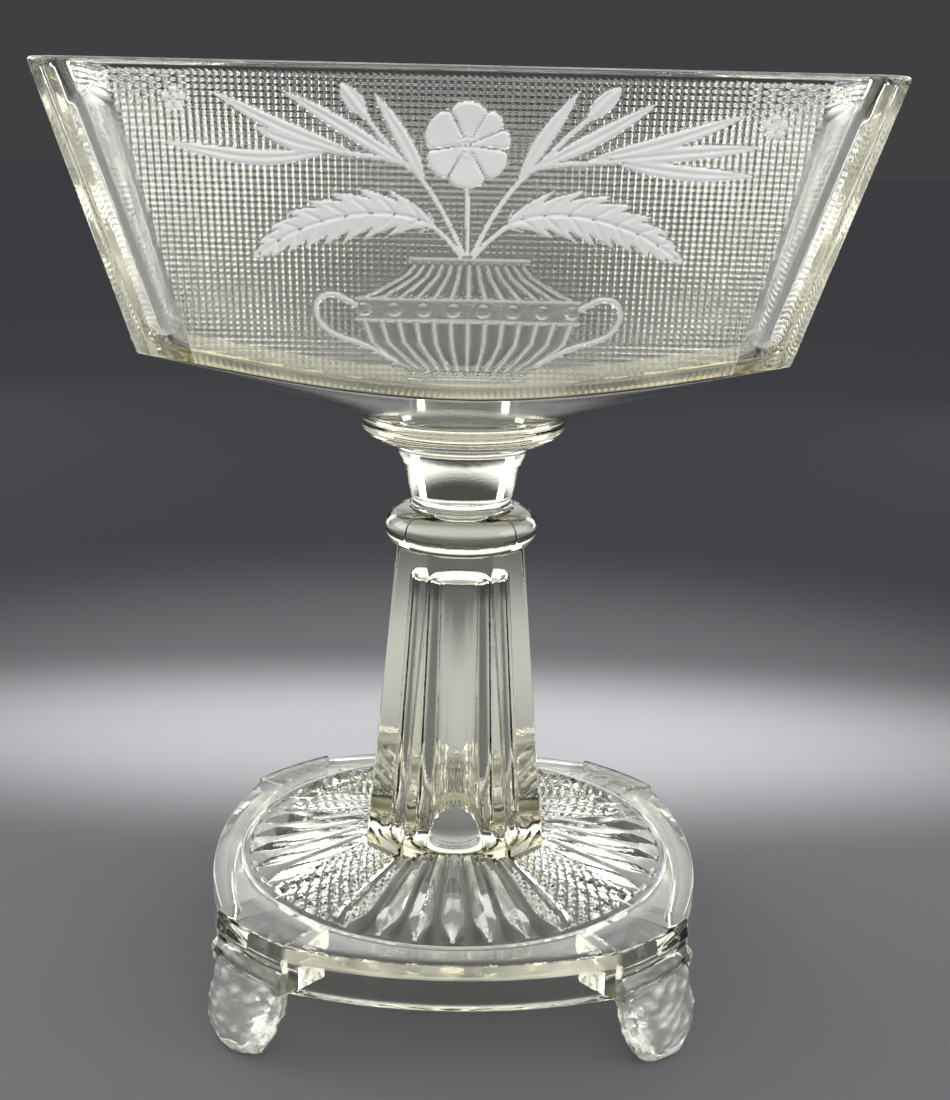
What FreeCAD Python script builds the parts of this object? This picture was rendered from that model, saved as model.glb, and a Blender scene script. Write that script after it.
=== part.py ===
"""Square compote dish of pressed glass on a footed pedestal.

The bowl is pressed together with its round flange and tapered neck. The pedestal
is pressed together from the knop ring down to the feet. A thin wafer of glass
joins the two. Millimetres, +Z up, origin on the table below the bowl's centre.
"""

import FreeCAD
import Part

import math
import os

# Heights, stacked from the table up to the rim
ledge_height = 32.0
column_height = 89.6
ring_height = 10.6
wafer_thickness = 1.5
neck_height = 16.8
flange_thickness = 7.4
saucer_height = 23.6
wall_height = 61.5

# Bowl wall, square with a flat facet down each corner
rim_width = 178.0
lower_width = 144.5
corner_leg = 4.0
rim_wall = 4.0
lower_wall = 5.2
inner_corner_radius = 7.0
rim_rounding = 0.8

# Bowl floor, a shallow saucer that rises to the corners
underside_crown = 0.9
floor_thickness = 4.6

# Flute pressed into the wall beside each corner
flute_top_gap = 5.5
flute_bottom_gap = 4.5
flute_top_inset = 11.0
flute_bottom_inset = 9.6
flute_top_width = 9.4
flute_bottom_width = 7.6
flute_depth = 1.2

# Flange and neck below the bowl
flange_radius = 27.5
flange_edge = 2.0
flange_step = 20.2
neck_top_radius = 17.2
neck_flare = 3.6
neck_bottom_radius = 13.5
neck_hollow = 0.3

# Wafer between neck and pedestal
wafer_radius = 13.9
wafer_bulge = 0.3

# Knop ring on top of the column
ring_radius = 20.8
ring_equator_drop = 5.2
ring_seat_margin = 0.3
ring_bottom_radius = 16.4

# Column, a square with chamfered corners that tapers upwards
column_foot_width = 49.0
column_foot_rise = 8.0
column_foot_face = 28.6
column_top_width = 34.1
column_top_face = 16.5

# Hollow inside the column
cavity_top_drop = 8.1
cavity_top_radius = 8.9
cavity_foot_radius = 11.0
cavity_foot_rise = 3.0
cavity_mouth_radius = 17.0
cavity_top_rounding = 1.5

# Foot plate, a square with bowed sides
plate_width = 136.0
plate_bow = 7.4
plate_side = 84.6
plate_thickness = 5.6
skirt_height = 13.4
skirt_wall = 5.2
field_radius = 60.7
field_step = 0.5

# Sunburst: lancet grooves pressed into the round field, in a group on each side
rays_per_side = 7
ray_pitch = 10.0
ray_inner_radius = 22.0
ray_wide_radius = 49.0
ray_shoulder_radius = 54.5
ray_outer_radius = 58.4
ray_inner_half_width = 1.0
ray_wide_half_width = 3.7
ray_shoulder_half_width = 2.5
ray_depth = 1.2
ray_clear = 0.6

# Fans of diamond points between the groups of rays
fan_inner_radius = 29.8
fan_outer_radius = 57.5
fan_half_angle = 11.5
rows_per_fan = 8
diamonds_per_row = 5
diamond_height = 1.1
diamond_valley = 0.2
fan_root = 1.6

# Corner blocks and feet
block_width = 26.4
block_inner_radius = 56.0
block_top_radius = 73.6
block_bottom_radius = 75.6
block_crown = 1.2
block_proud = 0.5
band_height = 3.6
band_proud = 0.7
foot_half_width = 12.2
foot_half_depth = 7.0
foot_radius = 76.6
foot_top_half_width = 12.8
foot_top_half_depth = 6.6
foot_flat_half_width = 5.0
foot_flat_half_depth = 2.6
foot_lean = 4.6
foot_sink = 3.0
foot_heel_height_share = 0.16
foot_heel_width_share = 0.78
foot_heel_depth_share = 0.8
foot_belly_height_share = 0.45
foot_belly_lean_share = 0.2

# Extra length of a cutting solid past what it cuts, and the slack in finding an edge
overrun = 5.0
edge_slack = 0.05

# Levels that the heights add up to
ring_bottom = ledge_height + column_height
ring_top = ring_bottom + ring_height
neck_bottom = ring_top + wafer_thickness
flange_bottom = neck_bottom + neck_height
contact_height = flange_bottom + flange_thickness
corner_height = contact_height + saucer_height
rim_height = corner_height + wall_height
skirt_bottom = ledge_height - skirt_height
plate_underside = ledge_height - plate_thickness
column_foot = ledge_height + column_foot_rise

axis_up = FreeCAD.Vector(0, 0, 1)
origin = FreeCAD.Vector(0, 0, 0)
diagonal = math.sin(math.radians(45))


def vec(x, y, z):
    return FreeCAD.Vector(x, y, z)


def turn(shape, degrees):
    turned = shape.copy()
    turned.rotate(origin, axis_up, degrees)
    return turned


def four(shapes, start=0):
    """The shapes repeated on all four sides, the first turned by start."""
    return [turn(shape, start + quarter * 90) for quarter in range(4) for shape in shapes]


def export(shape, node):
    shape.exportStep(os.path.join("parts", node + ".step"))


def flat_face(points):
    return Part.Face(Part.makePolygon(points + points[:1]))


def solid_from(faces):
    """Solid closed by flat faces, each given as its points, anticlockwise as seen from outside."""
    return Part.Solid(Part.Shell([flat_face(points) for points in faces]))


def tapered(low, top):
    """Solid with flat sides between two like polygons at different heights."""
    faces = [low[::-1], top]
    for i in range(len(low)):
        j = (i + 1) % len(low)
        faces.append([low[i], low[j], top[j], top[i]])
    return solid_from(faces)


def chamfered_square(half, face_half, z):
    """Corners of a square that is cut at its corners, with straight sides of 2 x face_half."""
    corners = []
    for quarter in range(4):
        cosine = math.cos(math.radians(quarter * 90))
        sine = math.sin(math.radians(quarter * 90))
        for side in (-face_half, face_half):
            corners.append(vec(half * cosine - side * sine, half * sine + side * cosine, z))
    return corners


def square(half, z):
    return [vec(x * half, y * half, z) for x, y in ((1, -1), (1, 1), (-1, 1), (-1, -1))]


def revolved(edges):
    return Part.Face(Part.Wire(edges)).revolve(origin, axis_up, 360)


def line(a, b):
    return Part.LineSegment(vec(a[0], 0, a[1]), vec(b[0], 0, b[1])).toShape()


def arc(a, b, c):
    return Part.Arc(vec(a[0], 0, a[1]), vec(b[0], 0, b[1]), vec(c[0], 0, c[1])).toShape()


def quarter_mid(level, upright):
    """Middle of a quarter oval that is level at one end and upright at the other."""
    return (level[0] + (upright[0] - level[0]) * diagonal, upright[1] + (level[1] - upright[1]) * diagonal)


# Bowl

wall_lean = (rim_width - lower_width) / 2 / wall_height
wall_growth = (lower_wall - rim_wall) / wall_height
corner_radius = math.hypot(lower_width / 2, lower_width / 2 - corner_leg)


def wall_half(z):
    return rim_width / 2 - wall_lean * (rim_height - z)


def inner_half(z):
    return wall_half(z) - rim_wall - wall_growth * (rim_height - z)


def underside(r):
    """Height of the bowl's underside at radius r."""
    s = (r - flange_radius) / (corner_radius - flange_radius)
    return contact_height + saucer_height * s + 4 * underside_crown * s * (1 - s)


def above_saucer(lift, centre_drop):
    """Everything above the underside raised by lift, and dished by centre_drop over the flange."""
    reach = corner_radius + overrun
    middle = (flange_radius + reach) / 2
    top = rim_height + 2 * overrun
    hub = (flange_radius, underside(flange_radius) + lift)
    centre = (0, hub[1] - centre_drop)
    if centre_drop:
        floor = arc(centre, (flange_radius / 2, centre[1] + centre_drop / 4), hub)
    else:
        floor = line(centre, hub)
    edge = (reach, underside(reach) + lift)
    out = (rim_width, edge[1])
    return revolved([
        floor,
        arc(hub, (middle, underside(middle) + lift), edge),
        line(edge, out),
        line(out, (out[0], top)),
        line((out[0], top), (0, top)),
        line((0, top), centre),
    ])


def make_bowl_outside():
    low = wall_half(contact_height)
    top = wall_half(rim_height)
    return tapered(
        chamfered_square(low, low - corner_leg, contact_height),
        chamfered_square(top, top - corner_leg, rim_height),
    )


def make_bowl_inside():
    """The square room inside the walls, round in its corners."""
    past_rim = rim_height + overrun
    room = tapered(
        square(inner_half(contact_height), contact_height),
        square(inner_half(past_rim), past_rim),
    )
    upright = []
    for edge in room.Edges:
        ends = [vertex.Z for vertex in edge.Vertexes]
        if max(ends) - min(ends) > overrun:
            upright.append(edge)
    return room.makeFillet(inner_corner_radius, upright)


def make_flute():
    """Round-ended tapering cutter for the flute on the -Y wall beside its +X corner."""
    normal = vec(0, -1, -wall_lean).normalize()
    ends = []
    for z, inset, width in (
        (rim_height - flute_top_gap - flute_top_width / 2, flute_top_inset, flute_top_width),
        (corner_height + flute_bottom_gap + flute_bottom_width / 2, flute_bottom_inset, flute_bottom_width),
    ):
        radius = (width ** 2 / 4 + flute_depth ** 2) / (2 * flute_depth)
        on_wall = vec(wall_half(z) - inset, -wall_half(z), z)
        ends.append((on_wall + normal * (radius - flute_depth), radius))
    (top, top_radius), (bottom, bottom_radius) = ends
    run = top - bottom
    cutter = Part.makeCone(bottom_radius, top_radius, run.Length, bottom, run)
    return cutter.fuse([Part.makeSphere(top_radius, top), Part.makeSphere(bottom_radius, bottom)])


def make_hub():
    """Flange and tapered neck, turned about the axis."""
    edge = (flange_radius, contact_height - flange_edge)
    step = (flange_step, flange_bottom)
    throat = (neck_top_radius, flange_bottom - neck_flare)
    foot = (neck_bottom_radius, neck_bottom)
    neck_mid = ((throat[0] + foot[0]) / 2 - neck_hollow, (throat[1] + foot[1]) / 2)
    into_bowl = contact_height + floor_thickness / 2
    inner_reach = flange_radius - floor_thickness / 2
    return revolved([
        line((0, foot[1]), foot),
        arc(foot, neck_mid, throat),
        arc(throat, quarter_mid(step, throat), step),
        arc(step, quarter_mid(step, edge), edge),
        line(edge, (flange_radius, contact_height)),
        line((flange_radius, contact_height), (inner_reach, into_bowl)),
        line((inner_reach, into_bowl), (0, into_bowl)),
        line((0, into_bowl), (0, foot[1])),
    ])


def make_bowl():
    hub_slope = (saucer_height + 4 * underside_crown) / (corner_radius - flange_radius)
    room = make_bowl_inside().common(above_saucer(floor_thickness, hub_slope * flange_radius / 2))
    shell = make_bowl_outside().common(above_saucer(0, 0)).cut(room)
    rim_edges = []
    for edge in shell.Edges:
        if all(abs(vertex.Z - rim_height) < edge_slack for vertex in edge.Vertexes):
            rim_edges.append(edge)
    shell = shell.makeFillet(rim_rounding, rim_edges)
    flute = make_flute()
    shell = shell.cut(four([flute, flute.mirror(origin, vec(1, 0, 0))]))
    return shell.fuse(make_hub()).removeSplitter()


# Wafer

def make_wafer():
    side = wafer_radius - wafer_bulge
    return revolved([
        line((0, ring_top), (side, ring_top)),
        arc((side, ring_top), (wafer_radius, (ring_top + neck_bottom) / 2), (side, neck_bottom)),
        line((side, neck_bottom), (0, neck_bottom)),
        line((0, neck_bottom), (0, ring_top)),
    ])


# Pedestal

ring_equator = ring_top - ring_equator_drop
field_slope = column_foot_rise / (field_radius - column_foot_width / 2)


def make_ring():
    seat = (wafer_radius + ring_seat_margin, ring_top)
    equator = (ring_radius, ring_equator)
    low = (ring_bottom_radius, ring_bottom)
    return revolved([
        line((0, ring_top), seat),
        arc(seat, quarter_mid(seat, equator), equator),
        arc(equator, quarter_mid(low, equator), low),
        line(low, (0, ring_bottom)),
        line((0, ring_bottom), (0, ring_top)),
    ])


def column_section(z):
    share = (z - column_foot) / (ring_bottom - column_foot)
    width = column_foot_width + (column_top_width - column_foot_width) * share
    face = column_foot_face + (column_top_face - column_foot_face) * share
    return chamfered_square(width / 2, face / 2, z)


def make_column():
    root = column_foot - plate_thickness / 2
    return tapered(column_section(root), column_section(ring_equator))


def make_cavity():
    """Tapered hollow up the column, with a bell mouth into the hollow foot."""
    cavity_top = ring_bottom - cavity_top_drop
    mouth = (cavity_mouth_radius, field_underside(cavity_mouth_radius))
    foot = (cavity_foot_radius, column_foot + cavity_foot_rise)
    shoulder = (cavity_top_radius, cavity_top - cavity_top_rounding)
    crown = (cavity_top_radius - cavity_top_rounding, cavity_top)
    return revolved([
        line((0, plate_underside), (mouth[0], plate_underside)),
        line((mouth[0], plate_underside), mouth),
        arc(mouth, quarter_mid(mouth, foot), foot),
        line(foot, shoulder),
        arc(shoulder, quarter_mid(crown, shoulder), crown),
        line(crown, (0, crown[1])),
        line((0, crown[1]), (0, plate_underside)),
    ])


def bowed_square(inset, z):
    """Wire of the plate's outline, drawn in by inset: four bowed sides and four cut corners."""
    mid = plate_width / 2 - inset
    end = mid - plate_bow
    half_side = plate_side / 2 - inset * math.tan(math.radians(22.5))
    side = Part.Arc(vec(end, -half_side, z), vec(mid, 0, z), vec(end, half_side, z)).toShape()
    cut = Part.LineSegment(vec(end, half_side, z), vec(half_side, end, z)).toShape()
    return Part.Wire(four([side, cut]))


def field_height(r):
    """Height of the round field, a low cone that rises to the column."""
    return ledge_height + field_slope * (field_radius - r)


def field_underside(r):
    return field_height(r) - plate_thickness


def make_plate():
    """Bowed square plate with its skirt and the low cone of the round field."""
    slab = Part.Face(bowed_square(0, skirt_bottom)).extrude(vec(0, 0, skirt_height))
    kerb = ledge_height + field_step
    foot = (column_foot_width / 2, field_height(column_foot_width / 2))
    cone = revolved([
        line((0, plate_underside), (field_radius, plate_underside)),
        line((field_radius, plate_underside), (field_radius, kerb)),
        line((field_radius, kerb), (field_radius - field_step, kerb)),
        line((field_radius - field_step, kerb), foot),
        line(foot, (0, foot[1])),
        line((0, foot[1]), (0, plate_underside)),
    ])
    return slab.fuse(cone)


def make_hollow():
    """The hollow below the plate: inside the skirt and the blocks, and up under the cone."""
    low = skirt_bottom - overrun
    room = Part.Face(bowed_square(skirt_wall, low)).extrude(vec(0, 0, plate_underside - low))
    outer = (field_radius, field_underside(field_radius))
    centre = (cavity_mouth_radius, field_underside(cavity_mouth_radius))
    rise = revolved([
        line((0, skirt_bottom), (field_radius, skirt_bottom)),
        line((field_radius, skirt_bottom), outer),
        line(outer, centre),
        line(centre, (0, centre[1])),
        line((0, centre[1]), (0, skirt_bottom)),
    ])
    corner = vec(block_inner_radius, -block_width / 2, 0)
    block_root = Part.makeBox(block_width, block_width, ledge_height, corner)
    return room.fuse(rise).cut(four([block_root], 45))


def on_field(r, side, lift):
    """Point on the round field's cone at radius r, side millimetres off the X axis, raised by lift."""
    tilt = math.atan(field_slope)
    out = r + lift * math.sin(tilt)
    up = field_height(r) + lift * math.cos(tilt)
    return vec(out * math.cos(side / r), out * math.sin(side / r), up)


def make_ray():
    """Cutter for the lancet groove along +X: a V that widens outwards and ends in a pointed arch."""
    flare = ray_wide_half_width / ray_depth
    left = []
    right = []
    bottom = []
    for r, half_width in (
        (ray_inner_radius, ray_inner_half_width),
        (ray_wide_radius, ray_wide_half_width),
        (ray_shoulder_radius, ray_shoulder_half_width),
        (ray_outer_radius, 0),
    ):
        above = half_width + ray_clear * flare
        left.append(on_field(r, above, ray_clear))
        right.append(on_field(r, -above, ray_clear))
        bottom.append(on_field(r, 0, -half_width / flare))
    faces = [[left[0], bottom[0], right[0]], [left[-1], right[-1], bottom[-1]]]
    for near, far in ((right, left), (left, bottom), (bottom, right)):
        for i in range(len(near) - 1):
            faces.append([near[i], near[i + 1], far[i]])
            faces.append([near[i + 1], far[i + 1], far[i]])
    return solid_from(faces)


def make_rays():
    ray = make_ray()
    middle = (rays_per_side - 1) / 2
    return four([turn(ray, (place - middle) * ray_pitch) for place in range(rays_per_side)])


def make_fan():
    """Fan about the +X axis: a slab whose top is a net of pyramids that widens outwards."""
    rows = 2 * rows_per_fan + 1
    columns = 2 * diamonds_per_row + 1
    growth = (fan_outer_radius / fan_inner_radius) ** (1 / (rows - 1))
    half_angle = math.radians(fan_half_angle)
    top = {}
    low = {}
    for row in range(rows):
        r = fan_inner_radius * growth ** row
        for column in range(columns):
            peak = diamond_height if (row + column) % 2 else 0
            angle = half_angle * (2 * column / (columns - 1) - 1)
            point = on_field(r, angle * r, diamond_valley + peak)
            top[row, column] = point
            low[row, column] = vec(point.x, point.y, field_height(point.x) - fan_root)
    faces = []
    for row in range(rows - 1):
        for column in range(columns - 1):
            a = top[row, column]
            b = top[row, column + 1]
            c = top[row + 1, column + 1]
            d = top[row + 1, column]
            if (row + column) % 2:
                faces.extend([[a, d, b], [b, d, c]])
            else:
                faces.extend([[a, c, b], [a, d, c]])
    border = [(0, column) for column in range(columns)]
    border += [(row, columns - 1) for row in range(1, rows)]
    border += [(rows - 1, column) for column in range(columns - 2, -1, -1)]
    border += [(row, 0) for row in range(rows - 2, 0, -1)]
    for here, after in zip(border, border[1:] + border[:1]):
        faces.append([top[here], top[after], low[after]])
        faces.append([top[here], low[after], low[here]])
    faces.append([low[place] for place in border])
    return solid_from(faces)


def block_section(outer_radius, z):
    half = block_width / 2
    corners = [
        vec(outer_radius, half, z),
        vec(block_inner_radius, half, z),
        vec(block_inner_radius, -half, z),
        vec(outer_radius, -half, z),
    ]
    outer_face = Part.Arc(corners[3], vec(outer_radius + block_crown, 0, z), corners[0]).toShape()
    return Part.Wire([outer_face] + Part.makePolygon(corners).Edges)


def make_block():
    """Corner block about the +X axis: its curved outer face leans out to a band above the foot."""
    top = ledge_height + block_proud
    band_top = skirt_bottom + band_height
    lean = (block_bottom_radius - block_top_radius) / (top - skirt_bottom)
    body = Part.makeLoft([
        block_section(block_bottom_radius, skirt_bottom),
        block_section(block_top_radius, top),
    ], True, True)
    band = Part.makeLoft([
        block_section(block_bottom_radius + band_proud, skirt_bottom),
        block_section(block_bottom_radius + band_proud - lean * band_height, band_top),
    ], True, True)
    return body.fuse(band)


def oval(half_width, half_depth, radius, z):
    ellipse = Part.Ellipse(origin, max(half_width, half_depth), min(half_width, half_depth)).toShape()
    wire = Part.Wire([ellipse])
    wire.rotate(origin, axis_up, 90)
    wire.translate(vec(radius, 0, z))
    return wire


def make_foot():
    """Rounded tongue foot about the +X axis, splayed outwards, flat where it stands."""
    top = skirt_bottom + foot_sink
    return Part.makeLoft([
        oval(foot_flat_half_width, foot_flat_half_depth, foot_radius, 0),
        oval(
            foot_half_width * foot_heel_width_share,
            foot_half_depth * foot_heel_depth_share,
            foot_radius,
            top * foot_heel_height_share,
        ),
        oval(
            foot_half_width,
            foot_half_depth,
            foot_radius - foot_lean * foot_belly_lean_share,
            top * foot_belly_height_share,
        ),
        oval(foot_top_half_width, foot_top_half_depth, foot_radius - foot_lean, top),
    ], True, False)


def make_pedestal():
    body = make_plate().cut(make_hollow())
    body = body.cut(make_rays())
    body = body.fuse(four([make_block(), make_foot()], 45))
    body = body.fuse([make_column(), make_ring()])
    body = body.fuse(four([make_fan()], 45))
    return body.cut(make_cavity()).removeSplitter()


if __name__ == "__main__":
    os.makedirs("parts", exist_ok=True)
    for node, make in (("bowl", make_bowl), ("wafer", make_wafer), ("pedestal", make_pedestal)):
        shape = make()
        print(node, "solids", len(shape.Solids), "valid", shape.isValid(), "mm3", round(shape.Volume))
        export(shape, node)
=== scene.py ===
import bpy
import math
import numpy as np
from mathutils import Matrix, Vector


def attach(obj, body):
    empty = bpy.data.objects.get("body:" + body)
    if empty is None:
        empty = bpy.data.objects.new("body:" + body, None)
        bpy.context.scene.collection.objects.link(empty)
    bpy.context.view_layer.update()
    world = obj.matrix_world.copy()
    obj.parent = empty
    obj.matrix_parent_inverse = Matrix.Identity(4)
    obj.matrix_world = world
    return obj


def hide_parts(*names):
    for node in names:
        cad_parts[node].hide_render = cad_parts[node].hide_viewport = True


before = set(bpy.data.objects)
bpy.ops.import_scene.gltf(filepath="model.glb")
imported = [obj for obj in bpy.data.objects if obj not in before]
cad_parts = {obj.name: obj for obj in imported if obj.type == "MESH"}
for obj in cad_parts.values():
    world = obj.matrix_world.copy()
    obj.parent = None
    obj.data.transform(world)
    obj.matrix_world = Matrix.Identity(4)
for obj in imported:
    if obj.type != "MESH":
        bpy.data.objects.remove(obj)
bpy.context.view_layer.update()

MM = 0.001

# Camera, at the photograph's viewing angle
FOCAL_PX = 1550.0
IMAGE_HEIGHT_PX = 1100.0
SENSOR_MM = 36.0
CAMERA_DISTANCE_MM = 409.9
CAMERA_HEIGHT_MM = 230.6
CAMERA_PITCH = 0.2646
CAMERA_ROLL = 0.0231
CAMERA_YAW = 0.0097

# Floor, with a pool of light and a darkening shade painted into its colour, backdrop and light
FLOOR_REACH = 9.0
# Painted pool of light: the floor's colour is pale in an oval behind the dish
PAINTED_LIGHT_PLACE = (0.0, 0.16, 0.0)
PAINTED_LIGHT_STRETCH = (0.32, 1.0, 1.0)
PAINTED_LIGHT_CORE = 0.01
PAINTED_LIGHT_EDGE = 0.118
FLOOR_PAINTED_LIGHT = (0.47, 0.47, 0.48, 1)
# Painted shade: around the pool, the floor's colour darkens from near the dish to far away, where it meets
# the backdrop
FLOOR_NEAR_PAINTED_SHADE = (0.135, 0.136, 0.140, 1)
FLOOR_FAR_PAINTED_SHADE = (0.040, 0.041, 0.044, 1)
PAINTED_SHADE_START = 0.20
PAINTED_SHADE_END = 0.50
BACKDROP = (0.050, 0.051, 0.054, 1)
SKY_TOP = (1.45, 1.47, 1.5, 1)
SKY_LOW_SINE = 0.07
SKY_TOP_SINE = 0.24
SKY_ZENITH = (0.6, 0.61, 0.63, 1)
SKY_HIGH_SINE = 0.45
SKY_ZENITH_SINE = 0.9
FRONT_LIGHT = 1.35
FRONT_SPREAD = 1.0
FRONT_FROM = (0.3, -1.0, 0.35)
LAMP_AIM = (0, 0, 0.12)
# Name, place, size and power of each panel lamp, and whether it shows through the glass
LAMPS = (
    ("window", (-0.95, 0.35, 0.75), (0.5, 0.9), 4, False),
    ("fill", (0.95, -0.25, 0.6), (0.4, 0.9), 2, False),
    ("left_strip", (-0.62, 0.85, 0.26), (0.2, 0.6), 1.6, True),
    ("right_strip", (0.62, 0.85, 0.26), (0.2, 0.6), 1.6, True),
)

# Glass
GLASS_IOR = 1.52
GLASS_TONE = (0.995, 0.996, 0.965, 1)
STRAW = (0.80, 0.72, 0.10, 1)
STRAW_DENSITY = 5.5
PATCH_SCALE = 60
PATCH_LEVELS = (0.35, 0.75)
PATCH_UNEVEN = (0.6, 1.3)
SCRATCH_DRAW = (1.0, 1.0, 0.06)
SCRATCH_SCALE = 900
SCRATCH_LEVELS = (0.66, 0.74)
SCRATCH_ROUGHNESS = 0.05
WAVE_SCALE = 45
WAVE_DEPTH = 0.0002
GRAIN_SCALE = 1800
GRAIN_DEPTH = 0.000008
CLEAR_ROUGHNESS = 0.05
# Finish of a point: 0 clear, 1 frosted, -1 straw edge
FROSTED = 1.0
EDGE_STRAW = -1.0
# A veil is the share of matt surface, which scatters light and dims what is seen through it
FROSTED_VEIL = 0.84
FROSTED_ROUGHNESS = 0.38
STRAW_VEIL = 0.5
STRAW_ROUGHNESS = 0.16
STRAW_TONE = (1.0, 0.97, 0.76, 1)

# Bowl, with the sizes of the CAD part
RIM_WIDTH = 178.0
LOWER_WIDTH = 144.5
RIM_Z = 243.0
CORNER_Z = 181.5
CONTACT_Z = 157.9
FLANGE_BOTTOM_Z = 150.5
NECK_BOTTOM_Z = 133.7
CORNER_LEG = 4.0
RIM_WALL = 4.0
LOWER_WALL = 5.2
INNER_CORNER_RADIUS = 7.0
RIM_ROUNDING = 0.8
UNDERSIDE_CROWN = 0.9
FLOOR_THICKNESS = 4.6
FLANGE_RADIUS = 27.5
FLANGE_EDGE = 2.0
FLANGE_STEP = 20.2
NECK_TOP_RADIUS = 17.2
NECK_FLARE = 3.6
NECK_BOTTOM_RADIUS = 13.5
NECK_HOLLOW = 0.3
FLUTE_TOP_GAP = 5.5
FLUTE_BOTTOM_GAP = 4.5
FLUTE_TOP_INSET = 11.0
FLUTE_BOTTOM_INSET = 9.6
FLUTE_TOP_WIDTH = 9.4
FLUTE_BOTTOM_WIDTH = 7.6
FLUTE_DEPTH = 1.2

WALL_LEAN = (RIM_WIDTH - LOWER_WIDTH) / 2 / (RIM_Z - CORNER_Z)
WALL_GROWTH = (LOWER_WALL - RIM_WALL) / (RIM_Z - CORNER_Z)
WALL_TILT = math.atan(WALL_LEAN)
TILT_COSINE = math.cos(WALL_TILT)
CORNER_RADIUS = math.hypot(LOWER_WIDTH / 2, LOWER_WIDTH / 2 - CORNER_LEG)
# Middle of the flute's round ends: height, distance from the wall's edge, and the flute's width there
FLUTE_ENDS = (
    (CORNER_Z + FLUTE_BOTTOM_GAP + FLUTE_BOTTOM_WIDTH / 2, FLUTE_BOTTOM_INSET, FLUTE_BOTTOM_WIDTH),
    (RIM_Z - FLUTE_TOP_GAP - FLUTE_TOP_WIDTH / 2, FLUTE_TOP_INSET, FLUTE_TOP_WIDTH),
)

# Stippled ground and the columns and rows of the wall's net
DOT_PITCH = 1.45
DOT_RISE = 1.30
DOT_HEIGHT = 0.46
DOT_RADIUS = 0.66
GROUND_SINK = 0.2
STIPPLE_TOP_Z = 240.6
NET_PER_DOT = 4
MIDDLE_COLUMNS = 155
EDGE_COLUMNS = 37
FLUTE_COLUMNS = 12
STRIP_SHARES = (0.18, 0.5, 0.82, 1.0)
FACET_SHARES = (0.22, 0.5, 0.75, 1.0)
COLUMNS = MIDDLE_COLUMNS + 1 + EDGE_COLUMNS + FLUTE_COLUMNS + len(STRIP_SHARES) + len(FACET_SHARES)
EVEN_ROWS = 172
LOWER_ROWS = 34
EDGE_ROUNDING = 0.5
SOFT_EDGE = 0.35
PLAIN_BELOW = 0.05
ON_PANEL = 0.001
SOLVE_STEPS = 12

# Ribbed band along the wall's lower edge
BAND_HEIGHT = 3.6
BAND_RIB = 0.5
BAND_RIB_DROP = 0.7
BAND_RIB_SOFT = 0.5
BAND_BEAD = 0.3
BAND_BEAD_DROP = 0.35
BAND_BEAD_HALF = 0.4
BAND_ROWS = 9
STRAW_ZONE = 3.4
CORNER_STRAW = 0.6
FLUTE_FROST = 0.3


def smooth(value):
    """Smooth step of a share that is held between 0 and 1."""
    share = np.clip(value, 0, 1)
    return share * share * (3 - 2 * share)


def blend(start, end, share):
    return start + (end - start) * share


def even_steps(count):
    """Shares of the way after each of count even steps."""
    return np.arange(1, count + 1) / count


def dome(off, radius):
    """Height share of a round form at a distance off from its middle."""
    return np.sqrt(np.clip(1 - (off / radius) ** 2, 0, 1))


def groove(off, width):
    """Depth share of a soft groove at a distance off from its middle."""
    return np.exp(-(off / width) ** 2)


def wall_half(z):
    return RIM_WIDTH / 2 - WALL_LEAN * (RIM_Z - z)


def inner_half(z):
    return wall_half(z) - RIM_WALL - WALL_GROWTH * (RIM_Z - z)


def underside(r):
    s = (r - FLANGE_RADIUS) / (CORNER_RADIUS - FLANGE_RADIUS)
    return blend(CONTACT_Z, CORNER_Z, s) + 4 * UNDERSIDE_CROWN * s * (1 - s)


def bowl_floor(r):
    """Height of the floor inside the bowl, dished over the flange."""
    slope = ((CORNER_Z - CONTACT_Z) + 4 * UNDERSIDE_CROWN) / (CORNER_RADIUS - FLANGE_RADIUS)
    drop = slope * FLANGE_RADIUS / 2
    dish = underside(FLANGE_RADIUS) - drop * (1 - (np.minimum(r, FLANGE_RADIUS) / FLANGE_RADIUS) ** 2)
    return FLOOR_THICKNESS + np.where(r < FLANGE_RADIUS, dish, underside(np.maximum(r, FLANGE_RADIUS)))


def flute_line(z):
    """Middle and width of the flute at height z."""
    (low, low_inset, low_width), (top, top_inset, top_width) = FLUTE_ENDS
    share = (z - low) / (top - low)
    return wall_half(z) - blend(low_inset, top_inset, share), blend(low_width, top_width, share)


def wall_columns(z):
    """Distance from the panel's middle, and out from the axis, of each net column at heights z.

    The columns run from the panel's middle to the middle of the corner facet, and z has one value for each.
    """
    half = wall_half(z)
    middle, width = flute_line(z)
    step = DOT_PITCH / NET_PER_DOT
    straight = np.full_like(z, MIDDLE_COLUMNS * step)
    border = middle - width / 2
    strip = middle + width / 2
    leg = half - CORNER_LEG
    x = np.empty_like(z)
    out = half.copy()
    first = MIDDLE_COLUMNS + 1
    x[..., :first] = np.arange(first) * step
    zones = (
        (straight, border, even_steps(EDGE_COLUMNS)),
        (border, strip, even_steps(FLUTE_COLUMNS)),
        (strip, leg, np.array(STRIP_SHARES)),
    )
    for start, end, shares in zones:
        last = first + len(shares)
        x[..., first:last] = blend(start[..., first:last], end[..., first:last], shares)
        first = last
    facet = np.array(FACET_SHARES) * CORNER_LEG / 2
    x[..., first:] = leg[..., first:] + facet
    out[..., first:] = half[..., first:] - facet
    return x, out


def lower_edge():
    """Height at which each column of the wall meets the underside."""
    z = np.full(COLUMNS, CORNER_Z)
    for _ in range(SOLVE_STEPS):
        x, out = wall_columns(z)
        z = underside(np.hypot(x, out))
    return z


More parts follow.
